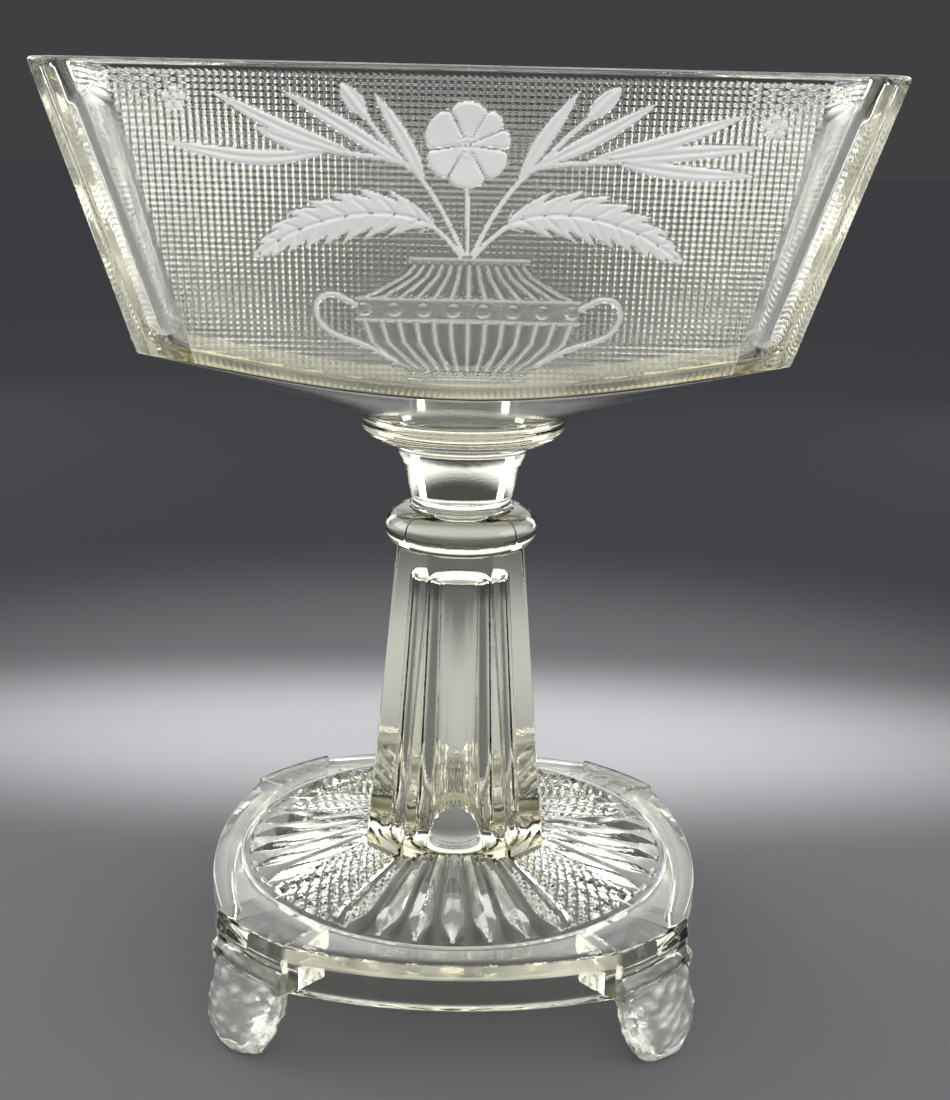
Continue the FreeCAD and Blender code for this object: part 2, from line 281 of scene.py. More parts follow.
def flute_depth(x, z):
    """How deep the flute is cut at points on the panel: a tapered hollow with round ends."""
    (low, _, low_width), (top, _, top_width) = FLUTE_ENDS
    low_x = flute_line(low)[0]
    top_x = flute_line(top)[0]
    rise = (z - low) / TILT_COSINE
    run = (top - low) / TILT_COSINE
    share = ((x - low_x) * (top_x - low_x) + rise * run) / ((top_x - low_x) ** 2 + run ** 2)
    share = np.clip(share, 0, 1)
    off = np.hypot(x - low_x - (top_x - low_x) * share, rise - run * share)
    half = blend(low_width, top_width, share) / 2
    radius = (half ** 2 + FLUTE_DEPTH ** 2) / (2 * FLUTE_DEPTH)
    inside = np.maximum(radius ** 2 - off ** 2, 0)
    return np.maximum(np.sqrt(inside) - (radius - FLUTE_DEPTH), 0)


def four_sides(x, out, z):
    """Ring round all four sides from the points of one: across it, out from the axis, and up."""
    points = []
    for turn in np.radians((0, 90, 180, 270)):
        cosine, sine = math.cos(turn), math.sin(turn)
        points.append(np.stack((x * cosine + out * sine, x * sine - out * cosine, z), axis=-1))
    return np.concatenate(points)


# Raised urn with flowers, in millimetres across the panel and up from the table
CURVE_STEPS = 14
LEAF_HEIGHT = 0.55
LEAF_EDGE = 0.45
LEAF_ROUND = 0.38
LEAF_SHOWS = 0.165
VEIN_DEPTH = 0.28
VEIN_WIDTH = 0.28
SIDE_VEIN_DEPTH = 0.26
STEM_HEIGHT = 0.44
STEM_RADIUS = 0.55
LANCE_WIDTH = 1.75
# Taper of a leaf: the first power moves its widest place, the second makes it fuller
LANCE_TAPER = (0.85, 0.8)
FERN_WIDTH = 5.9
FERN_TAPER = (0.8, 0.62)
FERN_TEETH = 8
FERN_TOOTH_PITCH = 4.6
FERN_SLANT = 1.15
FERN_NOTCH = 0.42
FERN_MIDRIB_DEPTH = 1.3 * VEIN_DEPTH
FERN_VEIN_PLACE = 0.62
FERN_VEIN_REACH = 0.72

LANCES = (
    ((-8.6, 219.6), (-13.2, 228.2), (-19.6, 238.2)),
    ((-12.6, 223.2), (-24.8, 230.4), (-38.8, 238.2)),
    ((-22.4, 225.0), (-38.0, 230.4), (-53.0, 237.6)),
    ((-27.8, 225.9), (-36.0, 227.6), (-44.0, 230.4)),
    ((-28.2, 225.7), (-44.0, 224.3), (-63.6, 227.2)),
    ((10.2, 220.6), (15.8, 229.8), (22.4, 239.2)),
    ((14.2, 223.6), (26.0, 229.6), (38.8, 237.2)),
    ((24.6, 225.2), (40.0, 229.0), (57.4, 235.2)),
    ((28.4, 225.2), (44.0, 226.9), (61.0, 228.6)),
    ((30.4, 224.6), (45.0, 223.0), (60.0, 222.6)),
)
STEMS = (
    ((-0.6, 205.2), (-4.8, 213.4), (-9.4, 220.4), (-14.2, 224.0), (-29.0, 226.0)),
    ((1.2, 205.2), (5.6, 213.8), (11.2, 221.2), (16.0, 223.8), (31.0, 225.0)),
    ((0.2, 205.2), (0.1, 212.4), (-0.3, 220.0)),
    ((-12.0, 222.6), (-17.4, 228.4), (-21.0, 233.0)),
    ((14.0, 223.4), (19.8, 229.4), (24.4, 233.6)),
    ((-1.2, 205.0), (-4.4, 208.6), (-8.4, 211.9)),
    ((1.6, 205.0), (5.2, 208.8), (9.6, 212.1)),
)
FERNS = (
    ((-7.0, 211.2), (-12.3, 213.0), (-19.6, 213.5), (-27.5, 212.3), (-36.4, 209.2), (-45.0, 203.6)),
    ((8.4, 211.6), (13.2, 213.4), (20.4, 213.9), (28.2, 212.8), (37.0, 209.8), (45.8, 204.4)),
)
BUDS = (((-21.2, 233.2), (-25.6, 238.6)), ((24.6, 233.8), (29.8, 239.0)))
BUD_WIDTH = 2.1
BUD_TAPER = (1.0, 0.7)
BUD_START = 0.12
BUD_REACH = 0.8
BUD_VEIN_PLACE = 0.45
BUD_CUP = 1.0
ROSETTES = ((-59.3, 235.4), (61.9, 232.5))
ROSETTE_RADIUS = 2.6
FLOWER = (-0.3, 227.6)
FLOWER_RADIUS = 9.0
# Petals of the flower: heading in degrees and half angle
PETALS = ((88, 29), (43, 18), (10, 16), (-33, 27), (-90, 31), (-146, 26), (152, 36))
ROSETTE_PETALS = ((90, 36), (18, 36), (-54, 36), (-126, 36), (162, 36))
PETAL_NOTCH = 0.16
PETAL_GAP = 0.34
PETAL_SOFT = 0.35
PETAL_MIDDLE = 0.75
PETAL_CUP = 0.45
PETAL_LINES = 44
PETAL_LINE_DEPTH = 0.1
PETAL_LINE_PLACE = 0.45
PETAL_LINE_REACH = 0.2
# Rings of beads in the heart of a flower: radius and count
STAMENS = ((0.0, 1), (1.15, 6), (2.25, 11))
STAMEN_RADIUS = 0.42
STAMEN_HEIGHT = 0.715

# Half outline of the urn, from the lip down, and its mouldings
URN_MIDDLE = 0.6
URN_LIP = ((12.9, 204.6), (12.9, 203.2))
URN_NECK = ((12.2, 203.2), (14.6, 200.6), (24.2, 195.4))
URN_BELT = ((24.2, 195.4), (24.4, 190.9))
URN_BOWL = ((24.2, 190.9), (22.4, 185.8), (17.2, 181.8), (12.8, 179.4))
URN_HEIGHT = 0.7
URN_PLAIN_HEIGHT = 0.385
URN_SHOWS = 0.11
URN_RIBS = 13
URN_RIB_DEPTH = 0.5
URN_RIB_POWER = 2.4
URN_FROST = 0.7
URN_FROST_LOW = 0.3
URN_FROST_TOP = 0.6
URN_LINE_HALF = 0.3
# Raised lines across the urn: height and reach to each side
URN_LINES = ((204.3, 12.9), (195.5, 24.3), (190.8, 24.4), (177.6, 13.0))
BEAD_HEIGHT = 0.75
# Rows of beads: count, height, reach to each side, radius, rise below the bead
BEAD_ROWS = ((8, 193.1, 22.3, 1.7, 0.2), (11, 179.7, 12.0, 1.15, 0.0), (11, 196.4, 16.0, 0.85, 0.1))
HANDLE = (
    (24.0, 194.0), (28.8, 196.2), (32.2, 194.8), (32.4, 191.0), (29.2, 187.6), (21.6, 184.8), (15.4, 181.4),
)
HANDLE_RADIUS = 0.7


def along(points, x, z):
    """Distance from a bent line, signed to its left, and the share of its length, for points on the panel."""
    signed = np.full(x.shape, np.inf)
    share = np.zeros(x.shape)
    line = np.array(points, dtype=float)
    line[:, 1] /= TILT_COSINE
    rise = z / TILT_COSINE
    lengths = np.hypot(*np.diff(line, axis=0).T)
    starts = np.concatenate(([0], np.cumsum(lengths)))
    for start, end, length, before in zip(line[:-1], line[1:], lengths, starts):
        way = (end - start) / length
        run = np.clip((x - start[0]) * way[0] + (rise - start[1]) * way[1], 0, length)
        off_x = x - start[0] - way[0] * run
        off_z = rise - start[1] - way[1] * run
        off = np.hypot(off_x, off_z)
        nearer = off < np.abs(signed)
        signed = np.where(nearer, np.copysign(off, way[0] * off_z - way[1] * off_x), signed)
        share = np.where(nearer, (before + run) / starts[-1], share)
    return signed, share


def curve(points, steps=CURVE_STEPS):
    """Finer line through a few points."""
    given = np.array(points, dtype=float)
    ends = np.concatenate((2 * given[:1] - given[1:2], given, 2 * given[-1:] - given[-2:-1]))
    line = []
    for a, b, c, d in zip(ends[:-3], ends[1:-2], ends[2:-1], ends[3:]):
        for t in np.arange(steps) / steps:
            line.append((b * 2 + (c - a) * t + (a * 2 - b * 5 + c * 4 - d) * t ** 2
                         + (b * 3 - a - c * 3 + d) * t ** 3) / 2)
    line.append(given[-1])
    return np.array(line)


def raised(off, half):
    """Height share of a rounded form of half width half, at a distance off from its middle."""
    rise = smooth((half - np.abs(off)) / LEAF_EDGE)
    return rise * (1 - LEAF_ROUND + LEAF_ROUND * dome(off, np.maximum(half, LEAF_EDGE)))


def swell(share, taper):
    """Width share along a leaf with two pointed ends."""
    return np.sin(math.pi * np.clip(share, 0, 1) ** taper[0]) ** taper[1]


def lance(points, x, z):
    """Long narrow leaf with a midrib."""
    off, share = along(curve(points), x, z)
    height = LEAF_HEIGHT * raised(off, LANCE_WIDTH * swell(share, LANCE_TAPER))
    return height - (height > 0) * VEIN_DEPTH * groove(off, VEIN_WIDTH)


def fern(points, x, z):
    """Broad leaf with a midrib, slanting side veins and teeth that point to its tip."""
    off, share = along(curve(points), x, z)
    slanted = FERN_TEETH * (share - FERN_SLANT * np.abs(off) / FERN_WIDTH / FERN_TEETH)
    tooth = slanted - np.floor(slanted)
    half = FERN_WIDTH * swell(share, FERN_TAPER) * (1 - FERN_NOTCH * (1 - tooth))
    height = LEAF_HEIGHT * raised(off, half)
    midrib = FERN_MIDRIB_DEPTH * groove(off, VEIN_WIDTH)
    side_vein = SIDE_VEIN_DEPTH * groove((tooth - FERN_VEIN_PLACE) * FERN_TOOTH_PITCH, VEIN_WIDTH)
    return height - (height > 0) * (midrib + side_vein * (np.abs(off) < half * FERN_VEIN_REACH))


def stem(points, x, z):
    off, _ = along(curve(points), x, z)
    return STEM_HEIGHT * dome(off, STEM_RADIUS)


def bud(points, x, z):
    """Pointed bud with two veins, in a round cup."""
    off, share = along(points, x, z)
    half = BUD_WIDTH * swell(BUD_START + BUD_REACH * share, BUD_TAPER)
    height = LEAF_HEIGHT * raised(off, half)
    for side in (-1, 1):
        vein = groove(off - side * half * BUD_VEIN_PLACE, VEIN_WIDTH)
        height = height - (height > 0) * SIDE_VEIN_DEPTH * vein
    start_x, start_z = points[0]
    off_cup = np.hypot(x - start_x, (z - start_z) / TILT_COSINE)
    return np.maximum(height, LEAF_HEIGHT * dome(off_cup, BUD_CUP))


def blossom(centre, radius, petals, x, z):
    """Open flower of broad petals with fine lines, and the beads of its heart."""
    across = x - centre[0]
    up = (z - centre[1]) / TILT_COSINE
    off = np.hypot(across, up)
    angle = np.degrees(np.arctan2(up, across))
    height = np.zeros(x.shape)
    for heading, half in petals:
        turn = np.abs((angle - heading + 180) % 360 - 180)
        edge = radius * (1 - PETAL_NOTCH * np.clip(turn / half, 0, 1) ** 3)
        beside = np.radians(half - turn) * off - PETAL_GAP * off / radius
        petal = smooth((edge - off) / LEAF_EDGE) * smooth(beside / LEAF_EDGE + PETAL_SOFT) * (turn < half)
        height = np.maximum(height, LEAF_HEIGHT * petal * (PETAL_MIDDLE + PETAL_CUP * off / radius))
    lines = 0.5 + 0.5 * np.cos(np.radians(angle) * PETAL_LINES)
    lines = lines * groove(off / radius - PETAL_LINE_PLACE, PETAL_LINE_REACH)
    height = height - (height > PETAL_LINE_DEPTH) * PETAL_LINE_DEPTH * lines
    size = radius / FLOWER_RADIUS
    for ring, count in STAMENS:
        for turn in 2 * math.pi * np.arange(count) / count:
            off_bead = np.hypot(across - ring * size * math.cos(turn), up - ring * size * math.sin(turn))
            height = np.maximum(height, STAMEN_HEIGHT * dome(off_bead, STAMEN_RADIUS * size))
    return height


def between(outline, across, z):
    """Share that rises from the border of a form, and its half width, from half widths at some heights."""
    outline = np.array(outline)[::-1]
    half = np.interp(z, outline[:, 1], outline[:, 0])
    low, top = outline[0, 1], outline[-1, 1]
    share = smooth((half - across) / LEAF_EDGE)
    return share * smooth((z - low) / LEAF_EDGE + 0.5) * smooth((top - z) / LEAF_EDGE + 0.5), half


def urn(x, z):
    """Height of the urn at points on the panel, and the frost of its raised lines."""
    across = np.abs(x - URN_MIDDLE)
    height = np.zeros(x.shape)
    for outline in (URN_LIP, URN_BELT):
        form, _ = between(outline, across, z)
        height = np.maximum(height, form * URN_PLAIN_HEIGHT)
    for outline in (URN_NECK, URN_BOWL):
        form, half = between(outline, across, z)
        phase = (x - URN_MIDDLE) / half * URN_RIBS / 2
        crest = np.abs(2 * (phase - np.floor(phase)) - 1)
        height = np.maximum(height, form * (URN_HEIGHT - URN_RIB_DEPTH * (1 - crest ** URN_RIB_POWER)))
    for line_z, line_reach in URN_LINES:
        height = np.maximum(height, URN_HEIGHT * dome(z - line_z, URN_LINE_HALF) * (across < line_reach))
    for side in (-1, 1):
        off, _ = along(curve([(URN_MIDDLE + side * a, b) for a, b in HANDLE]), x, z)
        height = np.maximum(height, URN_HEIGHT * dome(off, HANDLE_RADIUS))
    frost = URN_FROST * smooth((height - URN_FROST_LOW) / (URN_FROST_TOP - URN_FROST_LOW))
    for count, row_z, reach, radius, base in BEAD_ROWS:
        for bead_x in np.linspace(URN_MIDDLE - reach, URN_MIDDLE + reach, count):
            off = np.hypot(x - bead_x, (z - row_z) / TILT_COSINE)
            height = np.maximum(height, (base + BEAD_HEIGHT * dome(off, radius)) * (off < radius))
    return height, frost


def relief(x, z):
    """Height of the carving at points on the panel, its finish, and which of them are on the urn."""
    height = blossom(FLOWER, FLOWER_RADIUS, PETALS, x, z)
    for centre in ROSETTES:
        height = np.maximum(height, blossom(centre, ROSETTE_RADIUS, ROSETTE_PETALS, x, z))
    for shape, places in ((stem, STEMS), (lance, LANCES), (fern, FERNS), (bud, BUDS)):
        for points in places:
            height = np.maximum(height, shape(points, x, z))
    vase, frost = urn(x, z)
    on_leaf = height > np.maximum(vase, LEAF_SHOWS)
    return np.maximum(height, vase), np.where(on_leaf, FROSTED, frost), vase > URN_SHOWS


def stipple(x, z):
    """Rows of round beads."""
    across = x / DOT_PITCH
    up = (STIPPLE_TOP_Z - z) / TILT_COSINE / DOT_RISE - 0.5
    off = np.hypot((across - np.round(across)) * DOT_PITCH, (up - np.round(up)) * DOT_RISE)
    return DOT_HEIGHT * dome(off, DOT_RADIUS) * (z < STIPPLE_TOP_Z)


def panel_heights(x, z, band_top):
    """How far each point of a side stands out from the panel's plane, and its finish."""
    off_middle = np.abs(x)
    middle, width = flute_line(z)
    border = middle - width / 2
    on_ground = smooth((border - off_middle) / SOFT_EDGE)
    carved, frost, on_urn = relief(x, z)
    ground = on_ground * smooth((z - band_top) / SOFT_EDGE) * smooth((STIPPLE_TOP_Z - z) / SOFT_EDGE + 1)
    beads = np.where(carved < PLAIN_BELOW, stipple(x, z), 0)
    flute = flute_depth(off_middle, z)
    below = band_top - z
    ends = smooth((below - BAND_RIB_DROP) / BAND_RIB_SOFT)
    ends = ends * smooth((BAND_HEIGHT - EDGE_ROUNDING - below) / BAND_RIB_SOFT)
    valleys = BAND_RIB * (0.5 - 0.5 * np.cos(2 * math.pi * x / DOT_PITCH)) * ends * on_ground
    bead = BAND_BEAD * dome(below - BAND_BEAD_DROP, BAND_BEAD_HALF) * (off_middle < wall_half(z) - CORNER_LEG)
    height = ground * (beads + carved - GROUND_SINK) - flute - valleys + bead
    finish = np.maximum(frost * (ground > 0.5), FLUTE_FROST * (flute > 0))
    straw = (below > -STRAW_ZONE) & (off_middle < border) & ~on_urn
    finish = np.where(straw, EDGE_STRAW, finish)
    finish = np.where(off_middle > middle + width / 2, CORNER_STRAW * EDGE_STRAW, finish)
    return height, finish


def full_side(half_values, sign=1):
    """Values along a whole side from those of its right half, times sign on the left."""
    return np.concatenate((sign * half_values[..., :0:-1], half_values[..., :-1]), axis=-1)


def side_ring(x, out, z):
    """Ring of four sides from the columns of half a side."""
    return four_sides(full_side(x, -1), full_side(out), full_side(z))


def wall_rings():
    """Rings of the outer wall up to the plain band below the rim, their finish, and its lower edge."""
    edge_z = lower_edge()
    band_z = edge_z + BAND_HEIGHT
    slope_step = DOT_RISE * TILT_COSINE / NET_PER_DOT
    first_even = STIPPLE_TOP_Z - (EVEN_ROWS + 0.5) * slope_step
    band = np.linspace(edge_z + EDGE_ROUNDING, band_z, BAND_ROWS + 1)
    lower = np.linspace(band_z, np.full(COLUMNS, first_even), LOWER_ROWS + 1)[1:]
    even = first_even + slope_step * np.arange(1, EVEN_ROWS + 2)
    z = np.concatenate((band, lower, np.tile(even[:, None], COLUMNS)))
    x, out = wall_columns(z)
    side_x, side_out, side_z = full_side(x, -1), full_side(out), full_side(z)
    height, finish = panel_heights(side_x, side_z, np.broadcast_to(full_side(band_z), side_z.shape))
    height = np.where(side_out > wall_half(side_z) - ON_PANEL, height, 0)
    side_out = side_out + height * TILT_COSINE
    side_z = side_z - height * math.sin(WALL_TILT)
    rings = [four_sides(*row) for row in zip(side_x, side_out, side_z)]
    return rings, list(finish), edge_z


def ring_at(z, sink=0.0):
    """Coarse ring of the outer wall at one height, drawn in by sink."""
    level = np.full(COLUMNS, float(z))
    x, out = wall_columns(level)
    shrink = 1 - sink / wall_half(level)
    return side_ring(x * shrink, out * shrink, level)[::COARSE]


def inside_ring(z, shares):
    """Ring of the square room inside the walls, round in its corners. z may have a value for each point."""
    half = inner_half(z)
    straight = half - INNER_CORNER_RADIUS
    total = straight + INNER_CORNER_RADIUS * math.pi / 4
    run = np.abs(shares) * total
    angle = np.clip((run - straight) / INNER_CORNER_RADIUS, 0, math.pi / 4)
    x = np.where(run < straight, run, straight + INNER_CORNER_RADIUS * np.sin(angle))
    out = straight + INNER_CORNER_RADIUS * np.cos(angle)
    return four_sides(np.copysign(x, shares), out, np.broadcast_to(z, x.shape))


def add_object(name, data):
    made = bpy.data.objects.new(name, data)
    bpy.context.scene.collection.objects.link(made)
    return made


def skin(name, rings, finish=()):
    """Closed surface through rings of points in millimetres, each ring inside or above the one before.

    A ring may have a whole share of the points of its neighbour, and a ring of one point closes an end.
    finish has a number for each ring, or numbers that repeat round it, which the material reads.
    """
    points = np.concatenate(rings)
    loops, sizes = [], []
    start = 0
    for low, high in zip(rings[:-1], rings[1:]):
        counts = (len(low), len(high))
        faces = max(counts) if 1 in counts else min(counts)
        corners = []
        for first, count, order in ((start, len(low), 1), (start + len(low), len(high), -1)):
            step = count // faces
            taken = [first + (np.arange(faces) * step + k) % count for k in range(step + 1)]
            corners += taken[::order]
        loops.append(np.stack(corners, axis=1).ravel())
        sizes.append(np.full(faces, len(corners)))
        start += len(low)
    loops, sizes = np.concatenate(loops), np.concatenate(sizes)
    mesh = bpy.data.meshes.new(name)
    mesh.vertices.add(len(points))
    mesh.vertices.foreach_set("co", (points * MM).ravel())
    mesh.loops.add(len(loops))
    mesh.loops.foreach_set("vertex_index", loops.astype(np.int32))
    mesh.polygons.add(len(sizes))
    mesh.polygons.foreach_set("loop_start", (np.cumsum(sizes) - sizes).astype(np.int32))
    mesh.update(calc_edges=True)
    mesh.validate()
    mesh.shade_smooth()
    if finish:
        layer = mesh.attributes.new("finish", "FLOAT", "POINT")
        levels = [np.resize(level, len(ring)) for level, ring in zip(finish, rings)]
        layer.data.foreach_set("value", np.concatenate(levels).astype(np.float32))
    return add_object(name, mesh)


def oval_run(level, upright, steps):
    """Points of a quarter oval from its level end to its upright end, as radius and height."""
    return [(blend(level[0], upright[0], math.sin(turn)), blend(upright[1], level[1], math.cos(turn)))
            for turn in np.arange(steps + 1) / steps * math.pi / 2]


def bowed_run(start, end, bow, steps):
    """Points along a shallow arc that stands out by bow, the start itself left out."""
    return [(blend(start[0], end[0], t) + 4 * bow * t * (1 - t), blend(start[1], end[1], t))
            for t in even_steps(steps)]


def circle(r, z, angles):
    """Ring of points. r and z have one value, or one for each angle."""
    return np.stack((r * np.cos(angles), r * np.sin(angles), np.broadcast_to(z, angles.shape)), axis=-1)


def axis_point(z):
    return np.array([[0.0, 0.0, z]])


# Rings of the bowl below and above its stippled walls
COARSE = 4
NECK_COARSE = 8
NECK_END_SHARES = (0.4, 0.8, 0.96)
NECK_EDGE = 0.25
NECK_STEPS = 10
THROAT_STEPS = 6
FLANGE_STEPS = 9
# Fillet between flange and underside, out from the flange's edge and down from the contact
FLANGE_FILLET = ((0.0, 0.5), (0.15, 0.0))
SAUCER_START = FLANGE_RADIUS + 0.9
SAUCER_INSET = 1.2
SAUCER_RINGS = 14
# Rounded lower edge, in from the edge and up from the underside
LOWER_EDGE = ((0.5, 0.0), (0.12, 0.1))
RIM_PLAIN_DROPS = (1.6, 1.1)
RIM_SINK = 0.06
RIM_OUTER_TURNS = (0.0, 0.25, 0.5, 0.75, 1.0)
RIM_INNER_TURNS = (0.0, 0.33, 0.66, 1.0)
INSIDE_RINGS = 12
FLOOR_FILLET = 2.5
FLOOR_FILLET_STEPS = 4
FLOOR_RINGS = 22
FLOOR_FINE_SHARE = 0.7


def neck_rings(angles):
    """Neck and flange, from the middle of the neck's end out to the start of the underside."""
    foot = (NECK_BOTTOM_RADIUS, NECK_BOTTOM_Z + NECK_EDGE)
    throat = (NECK_TOP_RADIUS, FLANGE_BOTTOM_Z - NECK_FLARE)
    step = (FLANGE_STEP, FLANGE_BOTTOM_Z)
    flange = (FLANGE_RADIUS, CONTACT_Z - FLANGE_EDGE)
    profile = [(NECK_BOTTOM_RADIUS * share, NECK_BOTTOM_Z) for share in NECK_END_SHARES]
    profile.append(foot)
    profile += bowed_run(foot, throat, -NECK_HOLLOW, NECK_STEPS)
    profile += oval_run(step, throat, THROAT_STEPS)[-2::-1]
    profile += oval_run(step, flange, FLANGE_STEPS)[1:]
    profile += [(FLANGE_RADIUS + out, CONTACT_Z - drop) for out, drop in FLANGE_FILLET]
    profile.append((SAUCER_START, underside(SAUCER_START)))
    return [axis_point(NECK_BOTTOM_Z)] + [circle(r, z, angles) for r, z in profile]


def saucer_rings(angles, reach):
    """Underside of the bowl, out to the lower edge of its walls, which reach says."""
    rings = []
    for share in even_steps(SAUCER_RINGS):
        r = blend(SAUCER_START, reach[::COARSE] - SAUCER_INSET, share)
        rings.append(circle(r, underside(r), angles[::COARSE]))
    for inset, lift in LOWER_EDGE:
        rings.append(circle(reach - inset, underside(reach - inset) + lift, angles))
    return rings


def rim_rings(shares):
    """Plain band above the stipple, and the rounded rim over to the inner face."""
    rings = [ring_at(RIM_Z - drop) for drop in RIM_PLAIN_DROPS]
    top = RIM_Z - RIM_ROUNDING
    for turn in np.multiply(RIM_OUTER_TURNS, math.pi / 2):
        ring = ring_at(top, RIM_SINK + RIM_ROUNDING * (1 - math.cos(turn)))
        rings.append(ring + np.array([0, 0, RIM_ROUNDING * math.sin(turn)]))
    for turn in np.multiply(RIM_INNER_TURNS, math.pi / 2):
        grow = 1 + RIM_ROUNDING * (1 - math.sin(turn)) / inner_half(RIM_Z)
        ring = inside_ring(RIM_Z, shares) * np.array([grow, grow, 1])
        rings.append(ring - np.array([0, 0, RIM_ROUNDING * (1 - math.cos(turn))]))
    return rings


def inside_rings(shares):
    """Inner walls, the fillet at their foot, and the floor in to its middle."""
    floor_z = np.full(len(shares), CORNER_Z)
    for _ in range(SOLVE_STEPS):
        ring = inside_ring(floor_z, shares)
        floor_z = bowl_floor(np.hypot(ring[:len(shares), 0], ring[:len(shares), 1]))
    top = RIM_Z - RIM_ROUNDING
    rings = []
    for share in even_steps(INSIDE_RINGS):
        rings.append(inside_ring(blend(top, floor_z + FLOOR_FILLET, share), shares))
    wall_foot = rings[-1]
    corner = inside_ring(floor_z, shares)
    angles = np.arctan2(corner[:, 1], corner[:, 0])
    reach = np.hypot(corner[:, 0], corner[:, 1]) - FLOOR_FILLET
    floor_edge = circle(reach, bowl_floor(reach), angles)
    for t in even_steps(FLOOR_FILLET_STEPS):
        rings.append(wall_foot * (1 - t) ** 2 + corner * 2 * t * (1 - t) + floor_edge * t ** 2)
    for share in even_steps(FLOOR_RINGS)[:-1]:
        r = reach * (1 - share)
        rings.append(circle(r, bowl_floor(r), angles)[::1 if share < FLOOR_FINE_SHARE else 2])
    return rings + [axis_point(float(bowl_floor(0.0)))]


def make_bowl():
    wall, finish, edge_z = wall_rings()
    edge = side_ring(*wall_columns(edge_z), edge_z)
    angles = np.unwrap(np.arctan2(edge[:, 1], edge[:, 0]))
    reach = np.hypot(edge[:, 0], edge[:, 1])
    rim_x, _ = wall_columns(np.full(COLUMNS, RIM_Z))
    shares = (full_side(rim_x, -1) / (RIM_WIDTH / 2 - CORNER_LEG / 2))[::COARSE]
    below = neck_rings(angles[::NECK_COARSE]) + saucer_rings(angles, reach)
    above = rim_rings(shares) + inside_rings(shares)
    return skin("glass_bowl", below + wall + above, [0] * len(below) + finish + [0] * len(above))


# Pedestal, with the sizes of the CAD part
LEDGE_Z = 32.0
COLUMN_FOOT_Z = 40.0
RING_BOTTOM_Z = 121.6
RING_TOP_Z = 132.2
RING_RADIUS = 20.8
RING_EQUATOR_DROP = 5.2
RING_SEAT = 14.2
RING_BOTTOM_RADIUS = 16.4
COLUMN_FOOT_WIDTH = 49.0
COLUMN_FOOT_FACE = 28.6
COLUMN_TOP_WIDTH = 34.1
COLUMN_TOP_FACE = 16.5
COLUMN_SHARPNESS = 190
CAVITY_TOP_Z = 113.5
CAVITY_TOP_RADIUS = 8.9
CAVITY_TOP_ROUNDING = 1.5
CAVITY_FOOT_Z = 43.0
CAVITY_FOOT_RADIUS = 11.0
CAVITY_MOUTH_RADIUS = 17.0
PLATE_WIDTH = 136.0
PLATE_BOW = 7.4
PLATE_SIDE = 84.6
PLATE_THICKNESS = 5.6
PLATE_ROUNDING = 0.8
PLATE_SHARPNESS = 400
SKIRT_BOTTOM_Z = 18.6
SKIRT_WALL = 5.2
FIELD_RADIUS = 60.7
FIELD_STEP = 0.5
RAYS_PER_SIDE = 7
RAY_INNER_RADIUS = 22.0
RAY_WIDE_RADIUS = 49.0
RAY_TIP_RADIUS = 58.6
RAY_INNER_HALF_WIDTH = 1.2
RAY_WIDE_HALF_WIDTH = 3.75
RAY_LEAST_HALF_WIDTH = 0.35
RAY_NO_HALF_WIDTH = 0.01
RAY_RISE = 1.7
RAY_SINK = 0.45
RAY_RISE_POWER = 0.7
RAY_FROST = 0.06
RAY_ARCH = 1.8
RAY_COLUMNS = 14
RAY_INSIDE_SHARE = 5 / 7
FAN_INNER_RADIUS = 29.8
FAN_OUTER_RADIUS = 57.5
FAN_HALF_ANGLE = 11.4
ROWS_PER_FAN = 8
DIAMONDS_PER_ROW = 5
DIAMOND_HEIGHT = 1.1
DIAMOND_VALLEY = 0.1
DIAMOND_NET = 4
FAN_KERB_HEIGHT = 0.7
FAN_KERB_WIDTH = 0.45
FIELD_RIM_RADII = (59.2, 58.6, 58.1)
FIELD_FOOT_SHARES = (0.2, 0.4, 0.6, 0.8, 0.92)
NEAR_ZERO = 1e-6
# Rings of the ledge, as shares of the way in to the field, and how straw they are beside the blocks
LEDGE_SHARES = (0.3, 0.6, 0.9)
LEDGE_STRAW = (0.3, 0.45, 0.6)
LEDGE_INNER_GAP = 0.25
LEDGE_EDGE_LOW = 27.4
LEDGE_EDGE_TOP = 31.3
STEP_FROST = 0.4
STEP_GAP = 0.1
STEP_INSETS = (0.05, 0.6)
STEP_FOOT_INSET = 0.9
BLOCK_COLUMNS = 18
BLOCK_INNER_RADIUS = 56.0
BLOCK_TOP_RADIUS = 73.6
BLOCK_BOTTOM_RADIUS = 75.6
BLOCK_CROWN = 1.2
BLOCK_PROUD = 0.5
BLOCK_FACE = 5.2
BLOCK_COVE = 3.5
BLOCK_COVE_DEPTH = 0.9
BLOCK_BEAD = 3.0
BLOCK_BEAD_PROUD = 0.75
BLOCK_BEAD_POWER = 0.7
SEAM_HEIGHT = 0.14
SEAM_WIDTH = 0.3

# Rings of the pedestal
CAVITY_CROWN_STEPS = 5
CAVITY_STEPS = 12
CAVITY_MOUTH_STEPS = 7
UNDERSIDE_SHARES = (0.2, 0.4, 0.6, 0.8, 0.93)
# Rounded corners of the skirt: out from its inner face, and down from the underside or up from its lower edge
SKIRT_FILLET = ((-0.8, 0.0), (-0.25, 0.25), (0.0, 0.8))
SKIRT_EDGE = ((0.0, 0.7), (0.2, 0.2), (0.7, 0.0))
PLATE_SOFT = 0.3 * PLATE_ROUNDING
EDGE_RINGS = 30
# Foot of the column: lift from the field, and out from the column's outline
COLUMN_FILLET = ((0.1, 0.15), (0.5, 0.0))
COLUMN_RINGS = 12
LOWER_KNOP_RINGS = 8
UPPER_KNOP_RINGS = 12
SEAT_RADII = (RING_SEAT - 0.8, RING_SEAT * 0.7, RING_SEAT * 0.35)

